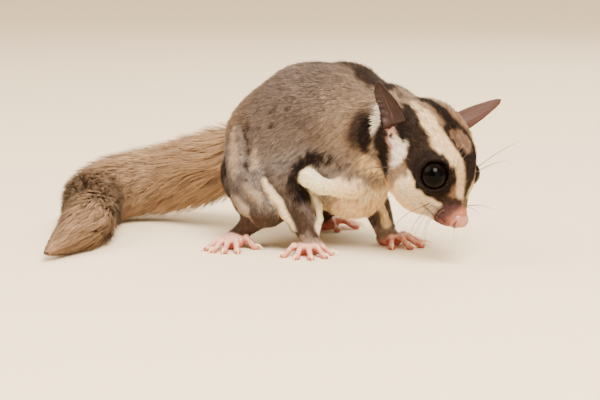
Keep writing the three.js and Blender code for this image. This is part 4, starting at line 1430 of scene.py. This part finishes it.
def earSheet(label):
    ear = ears[label]
    base, tip = vec(*ear["base"]), vec(*ear["tip"])
    x, y, z = frameAlong(tip - base, vec(*ear["face"]))
    share = np.linspace(0, 1, earLook["rows"])[:, None]
    v = np.linspace(-1, 1, earLook["across"])[None]
    rearwards = v * ear["rear"]
    behind = smoothStep(0.1, 0.55, rearwards)
    turn = np.radians(earLook["turn"]) * v

    # Width, cup, folds, the long ridge and the ribs give each place of the sheet
    front, rear = [np.interp(share, earLook["shares"], ear[edge]) for edge in ("frontWidths", "rearWidths")]
    width = np.where(rearwards > 0, rear, front) / math.sin(math.radians(earLook["turn"]))
    cup = np.interp(share, (0, 0.35, 1), ear["cups"])
    waves = np.sin(share * 2 * math.pi * 7.5 + 2.4 * v + 1.6 * np.sin(share * 11))
    folds = ear["folds"] * 0.17 * waves * behind * smoothStep(0.12, 0.3, share) * smoothStep(1.0, 0.75, share)
    ridgeAt = ear["rear"] * mix(-0.12, 0.06, share)
    ridge = ear["folds"] * np.exp(-((v - ridgeAt) / 0.024) ** 2) * smoothStep(0.08, 0.25, share)
    ribs = 0.07 * np.sin(v * 23 + share * 5) * smoothStep(0.2, 0.5, share)
    forward = -cup * np.cos(turn) + folds + 0.4 * ridge * (1 - 0.5 * share) + ribs
    forward = forward - 3.0 * (1 - np.minimum(share / 0.13, 1)) ** 2
    wavy = 1 + 0.05 * ear["folds"] * behind * np.sin(share * 2 * math.pi * 5.2)
    sideways = width * np.sin(turn) * wavy
    lengthwise = share * size(tip - base) + 0 * v
    sheet = base + x * forward[..., None] + y * sideways[..., None] + z * lengthwise[..., None]
    normal = unit(np.cross(np.gradient(sheet, axis=1), np.gradient(sheet, axis=0)))
    normal = normal * np.sign(normal[20, 20] @ x)
    thick = earLook["thick"] * (0.35 + 0.65 * (1 - np.abs(v) ** 6)) * mix(1.9, 1, smoothStep(0, 0.4, share))
    half = normal * (thick / 2)[..., None]
    front, back = sheet + half, sheet - half

    striped = 0.5 + 0.5 * np.sin(share * 2 * math.pi * 6.5 + 1.4 * v)
    inner = painted(np.tile(ear["skin"], (*sheet.shape[:2], 1)), [
        # The rear half is painted darker: on the left ear this is painted shade, its front half left as the
        # lit side; on the right ear it darkens the folded part
        (earColours["fold"], behind * 0.75),
        (earColours["stripe"], striped * (behind * 0.3)),
        (earColours["root"], smoothStep(0.34, 0.14, share) * smoothStep(-0.1, 0.5, rearwards)),
        (earColours["front"], smoothStep(0.45, 0.15, share) * smoothStep(0.0, -0.5, rearwards)),
        (earColours["ridge"], np.clip(ridge * 0.6, 0, 1) * smoothStep(1.0, 0.7, share)),
        (earColours["rim"], smoothStep(0.82, 1.0, np.abs(v)) * 0.5),
        (earColours["tip"], smoothStep(0.82, 1.0, share) * 0.6),
    ])
    outer = np.tile(earColours["outer"], (*sheet.shape[:2], 1))
    outer = painted(outer, [(earColours["outerRoot"], smoothStep(0.34, 0.1, share))])
    colour = np.concatenate([inner, outer[:, ::-1]], axis=1) * vec(*ear["darkness"])
    rows = headToBody(np.concatenate([front, back[:, ::-1]], axis=1))
    earFur(label, front, back, normal, z, rearwards[0])

    # The rings run the way round that turns their faces outwards
    a, b, c = rows[10, 0], rows[10, 1], rows[11, 0]
    if np.cross(b - a, c - a) @ (a - rows[10].mean(axis=0)) < 0:
        rows, colour = rows[:, ::-1], colour[:, ::-1]
    piece = ringPiece(f"ear_{label}_skin", rows, colour, earMaterial)
    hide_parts(f"ear_{label}")


def earFur(label, front, back, normal, along, rearwards):
    # Fine dark fur round the root of the ear, thinner on its inner face and at the rear rim
    ear = ears[label]
    source = np.random.default_rng(ear["seed"])
    count = ear["hairs"]
    row = (source.uniform(0, 1, count) ** 1.5 * ear["furHigh"] * earLook["rows"]).astype(int) + 1
    column = source.integers(1, earLook["across"] - 1, count)
    inside = source.uniform(0, 1, count) < 0.3
    inside &= (rearwards[column] < -0.2 + 0.3 * source.normal(size=count)) & (row < 5)
    roots = np.where(inside[:, None], front[row, column], back[row, column])
    out = np.where(inside, 1, -1)[:, None] * normal[row, column]
    length = source.uniform(0.8, 1.7, count) * (1.1 - row / earLook["rows"])
    way = unit(along + 0.22 * source.normal(size=(count, 3)))
    tips = roots + (way * 0.93 + out * 0.3) * length[:, None]
    tint = colours["stripe"] * np.clip(1 + 0.35 * source.normal(size=(count, 1)), 0.4, 2.2)
    side, out = unit(np.cross(out, way)) @ headTurn.T, out @ headTurn.T
    width = np.full(count, 0.12)
    tufts = {
        "centres": np.stack([headToBody(roots), headToBody(tips)], axis=1),
        "sides": np.repeat(side[:, None], 2, axis=1),
        "ups": np.repeat(out[:, None], 2, axis=1),
        "halfWidths": np.stack([width, width * 0], axis=1),
        "shades": np.stack([tint * 0.8, tint * 1.3], axis=1),
        "normals": out,
        "unwrap": np.stack([column / earLook["across"] * 0.9, row / earLook["rows"]], axis=1),
    }
    tuftPiece(f"coat_ear_{label}", tufts, 0.45, furMaterial)


# Whiskers of one side: forward and upward place of the root, then the way to the middle and to the tip
whiskerLook = {
    "radius": 0.075, "tip": 0.014, "extra": 2, "pale": linear(126, 108, 94), "dark": linear(44, 34, 30),
    "lines": [
        ((8.8, -4.8), (1.2, 8, 1.4), (3.5, 15, 1.5)), ((8.0, -5.8), (1.6, 8.4, -1.2), (5, 15, -4)),
        ((6.8, -6.8), (2.6, 7.6, -3), (8, 12.5, -8)), ((8.6, -7.2), (3, 5.4, -2.6), (9, 8.5, -7)),
        ((5.4, -7.8), (0.8, 8.2, -5), (4, 13.5, -12)), ((7.2, -8.4), (3, 4.6, -4.6), (9, 6.5, -11)),
        ((0.8, 6.2), (-1.2, 4.6, 6.8), (-1, 8.5, 13)), ((1.8, 5.6), (0.2, 5.4, 4.8), (1.5, 9.5, 9)),
        ((-9.5, -9.4), (-2.4, 5.2, -3.4), (-4, 9, -8)), ((-8, -10.4), (-1.6, 4.4, -4.2), (-2, 7.4, -9.5)),
    ],
}


def tube(points, radii, count):
    # Rings round a line
    along = unit(np.gradient(points, axis=0))
    left = unit(np.cross(vec(0.1, 0.05, 1.0), along))
    turns = np.arange(count) / count * 2 * math.pi
    return points[:, None] + radii[:, None, None] * ringRound(left, np.cross(along, left), turns)


def strandsPiece(name, strands, material):
    # Tubes with flat ends, each with its tints along the line, joined into one piece
    points, faces, tints, start = [], [], [], 0
    for rings, tone in strands:
        n, m = rings.shape[:2]
        end = start + np.arange(m)
        faces += [*(start + ringFaces(n, m)), end[::-1], end + (n - 1) * m]
        points.append(rings.reshape(-1, 3))
        tints.append(np.repeat(np.broadcast_to(tone, (n, 3)), m, axis=0))
        start += n * m
    return newPiece(name, np.vstack(points), faces, material, np.vstack(tints))


def whiskers():
    source = np.random.default_rng(77)
    strands = []
    for side in (-1, 1):
        for at, middle, tip in whiskerLook["lines"]:
            for copy in range(1 + whiskerLook["extra"]):
                x, z = vec(*at) + (source.normal(size=2) * 0.55 if copy else 0)
                bend = 1 + source.normal(size=3) * (0.16 if copy else 0)
                reach = source.uniform(0.6, 1.0) if copy else 1.0
                root = onSkin(headField, vec(x, 0, z), vec(0, side, 0)) - vec(0, side * 0.3, 0)
                ways = [vec(*way) * vec(1, side, 1) * bend * reach for way in (middle, tip)]
                line = headToBody(curveThrough([root, *(root + way for way in ways)], 5))
                t = np.linspace(0, 1, len(line))
                radii = whiskerLook["radius"] * (1 - t) ** 0.8 + whiskerLook["tip"]
                tone = whiskerLook["pale" if source.uniform() < 0.5 else "dark"]
                strands.append((tube(line, radii, 3), tone))
    strandsPiece("whiskers", strands, hairMaterial)


clawColours = {"root": linear(206, 140, 112), "tip": linear(240, 214, 168)}


def claws():
    for name in limbs:
        plan = pawPlan(name)
        r, claw = plan["digit"], plan["claw"]
        strands = []
        for angle, reach in zip(plan["spread"], plan["reach"]):
            tip = plan["palm"][0] * 0.35 + reach
            line = curveThrough(digitLine(name, angle, [
                (tip - r * 0.3, r * 1.05), (tip + r * 0.5, r * 1.5),
                (tip + claw * 0.6, r * 1.3), (tip + claw, 0.12)]), 5)
            t = np.linspace(0, 1, len(line))
            tone = mix(clawColours["root"], clawColours["tip"], smoothStep(0.05, 0.5, t)[:, None])
            strands.append((tube(line, mix(0.66, 0.05, t ** 1.3), 8), tone))
        strandsPiece(f"claws_{name}", strands, clawMaterial)


eyeMaterial = attributeMaterial("eyeWet", 0.04, **{"Specular IOR Level": 0.05})
rimMaterial = attributeMaterial("lidRim", 0.22, **{
    "Specular IOR Level": 0.4, "Coat Weight": 0.3, "Coat Roughness": 0.1})
noseMaterial = attributeMaterial("noseSkin", 0.38, **{"Coat Weight": 0.25, "Coat Roughness": 0.25})
earMaterial = attributeMaterial("earSkin", 0.55, **{"Specular IOR Level": 0.3})
hairMaterial = attributeMaterial("whiskerHair", 0.5)
clawMaterial = attributeMaterial("claw", 0.3, **{"Coat Weight": 0.3})
for make in (eyeball, lidRim):
    make(-1, "right")
    make(1, "left")
nosePad()
for label in ears:
    earSheet(label)
whiskers()
claws()
print("face and claws made")


# Floor, lights and camera

cameraPlan = {
    "azimuth": 40, "elevation": 9, "lens": 100, "distance": 537,
    "pixel": (450.5, 175.5), "picture": (600, 400),  # where the middle of the head lies in the picture
}


def makeCamera():
    azimuth, elevation = math.radians(cameraPlan["azimuth"]), math.radians(cameraPlan["elevation"])
    flat = vec(math.sin(azimuth), -math.cos(azimuth), 0)
    back = flat * math.cos(elevation) + vec(0, 0, math.sin(elevation))
    right = vec(math.cos(azimuth), math.sin(azimuth), 0)
    up = np.cross(back, right)
    camera = bpy.data.objects.new("camera", bpy.data.cameras.new("camera"))
    camera.data.lens = cameraPlan["lens"]
    camera.data.sensor_width = 36
    (x, y), (width, height) = cameraPlan["pixel"], cameraPlan["picture"]
    perPixel = cameraPlan["distance"] / (cameraPlan["lens"] / 36 * width)
    place = headAt + back * cameraPlan["distance"] - right * (x - width / 2) * perPixel
    place += up * (y - height / 2) * perPixel
    turn = Matrix(np.column_stack([right, up, back]).tolist()).to_4x4()
    camera.matrix_world = Matrix.Translation(toWorld(place)) @ turn
    camera.data.clip_start, camera.data.clip_end = 0.01, 40
    bpy.context.collection.objects.link(camera)
    bpy.context.scene.camera = camera


makeCamera()

# Round lamps: place as seen from the camera (right, up, back), then how far, how wide, power and colour
lights = {
    "windowLight": ((0.17, 0.66, 0.73), 1.1, 0.6, 34, (1, 0.92, 0.8)),
    "softLeft": ((-0.85, 0.75, 0.35), 1.2, 0.9, 10, (1, 0.93, 0.82)),
    "frontFill": ((0.5, 0.1, 0.9), 1.3, 1.0, 6, (1, 0.92, 0.8)),
    "rimLight": ((0.35, 0.85, -0.75), 1.1, 0.6, 6, (1, 0.93, 0.82)),
}
lit = vec(0.02, 0.0, 0.03)  # the spot that they shine on, in metres


def areaLight(name, way, far, across, power, colour):
    light = bpy.data.objects.new(name, bpy.data.lights.new(name, "AREA"))
    light.data.shape = "DISK"
    light.data.size = across
    light.data.energy = power
    light.data.color = colour
    axes = np.array(bpy.context.scene.camera.matrix_world.to_3x3())
    light.location = lit + far * unit(axes @ vec(*way))
    light.rotation_mode = "QUATERNION"
    light.rotation_quaternion = (Vector(lit) - light.location).to_track_quat("-Z", "Y")
    bpy.context.collection.objects.link(light)


for name, values in lights.items():
    areaLight(name, *values)
sun = bpy.data.objects.new("roomLight", bpy.data.lights.new("roomLight", "SUN"))
sun.data.energy = 1.8
sun.data.angle = math.radians(80)
sun.data.color = (1, 0.92, 0.78)
bpy.context.collection.objects.link(sun)

world = bpy.data.worlds.new("studio")
bpy.context.scene.world = world
world.use_nodes = True
background = world.node_tree.nodes["Background"]
background.inputs["Color"].default_value = (*linear(250, 226, 192), 1)
background.inputs["Strength"].default_value = 1.0

floorMesh = bpy.data.meshes.new("floor")
half = 12
corners = [(-half, -half, 0), (half, -half, 0), (half, half, 0), (-half, half, 0)]
floorMesh.from_pydata(corners, [], [(0, 1, 2, 3)])
floorMaterial, _, _, floorShader = newMaterial("floorPale", 0.9)
floorShader.inputs["Base Color"].default_value = (*linear(242, 224, 194), 1)
floorMesh.materials.append(floorMaterial)
floor = bpy.data.objects.new("floor", floorMesh)
bpy.context.collection.objects.link(floor)
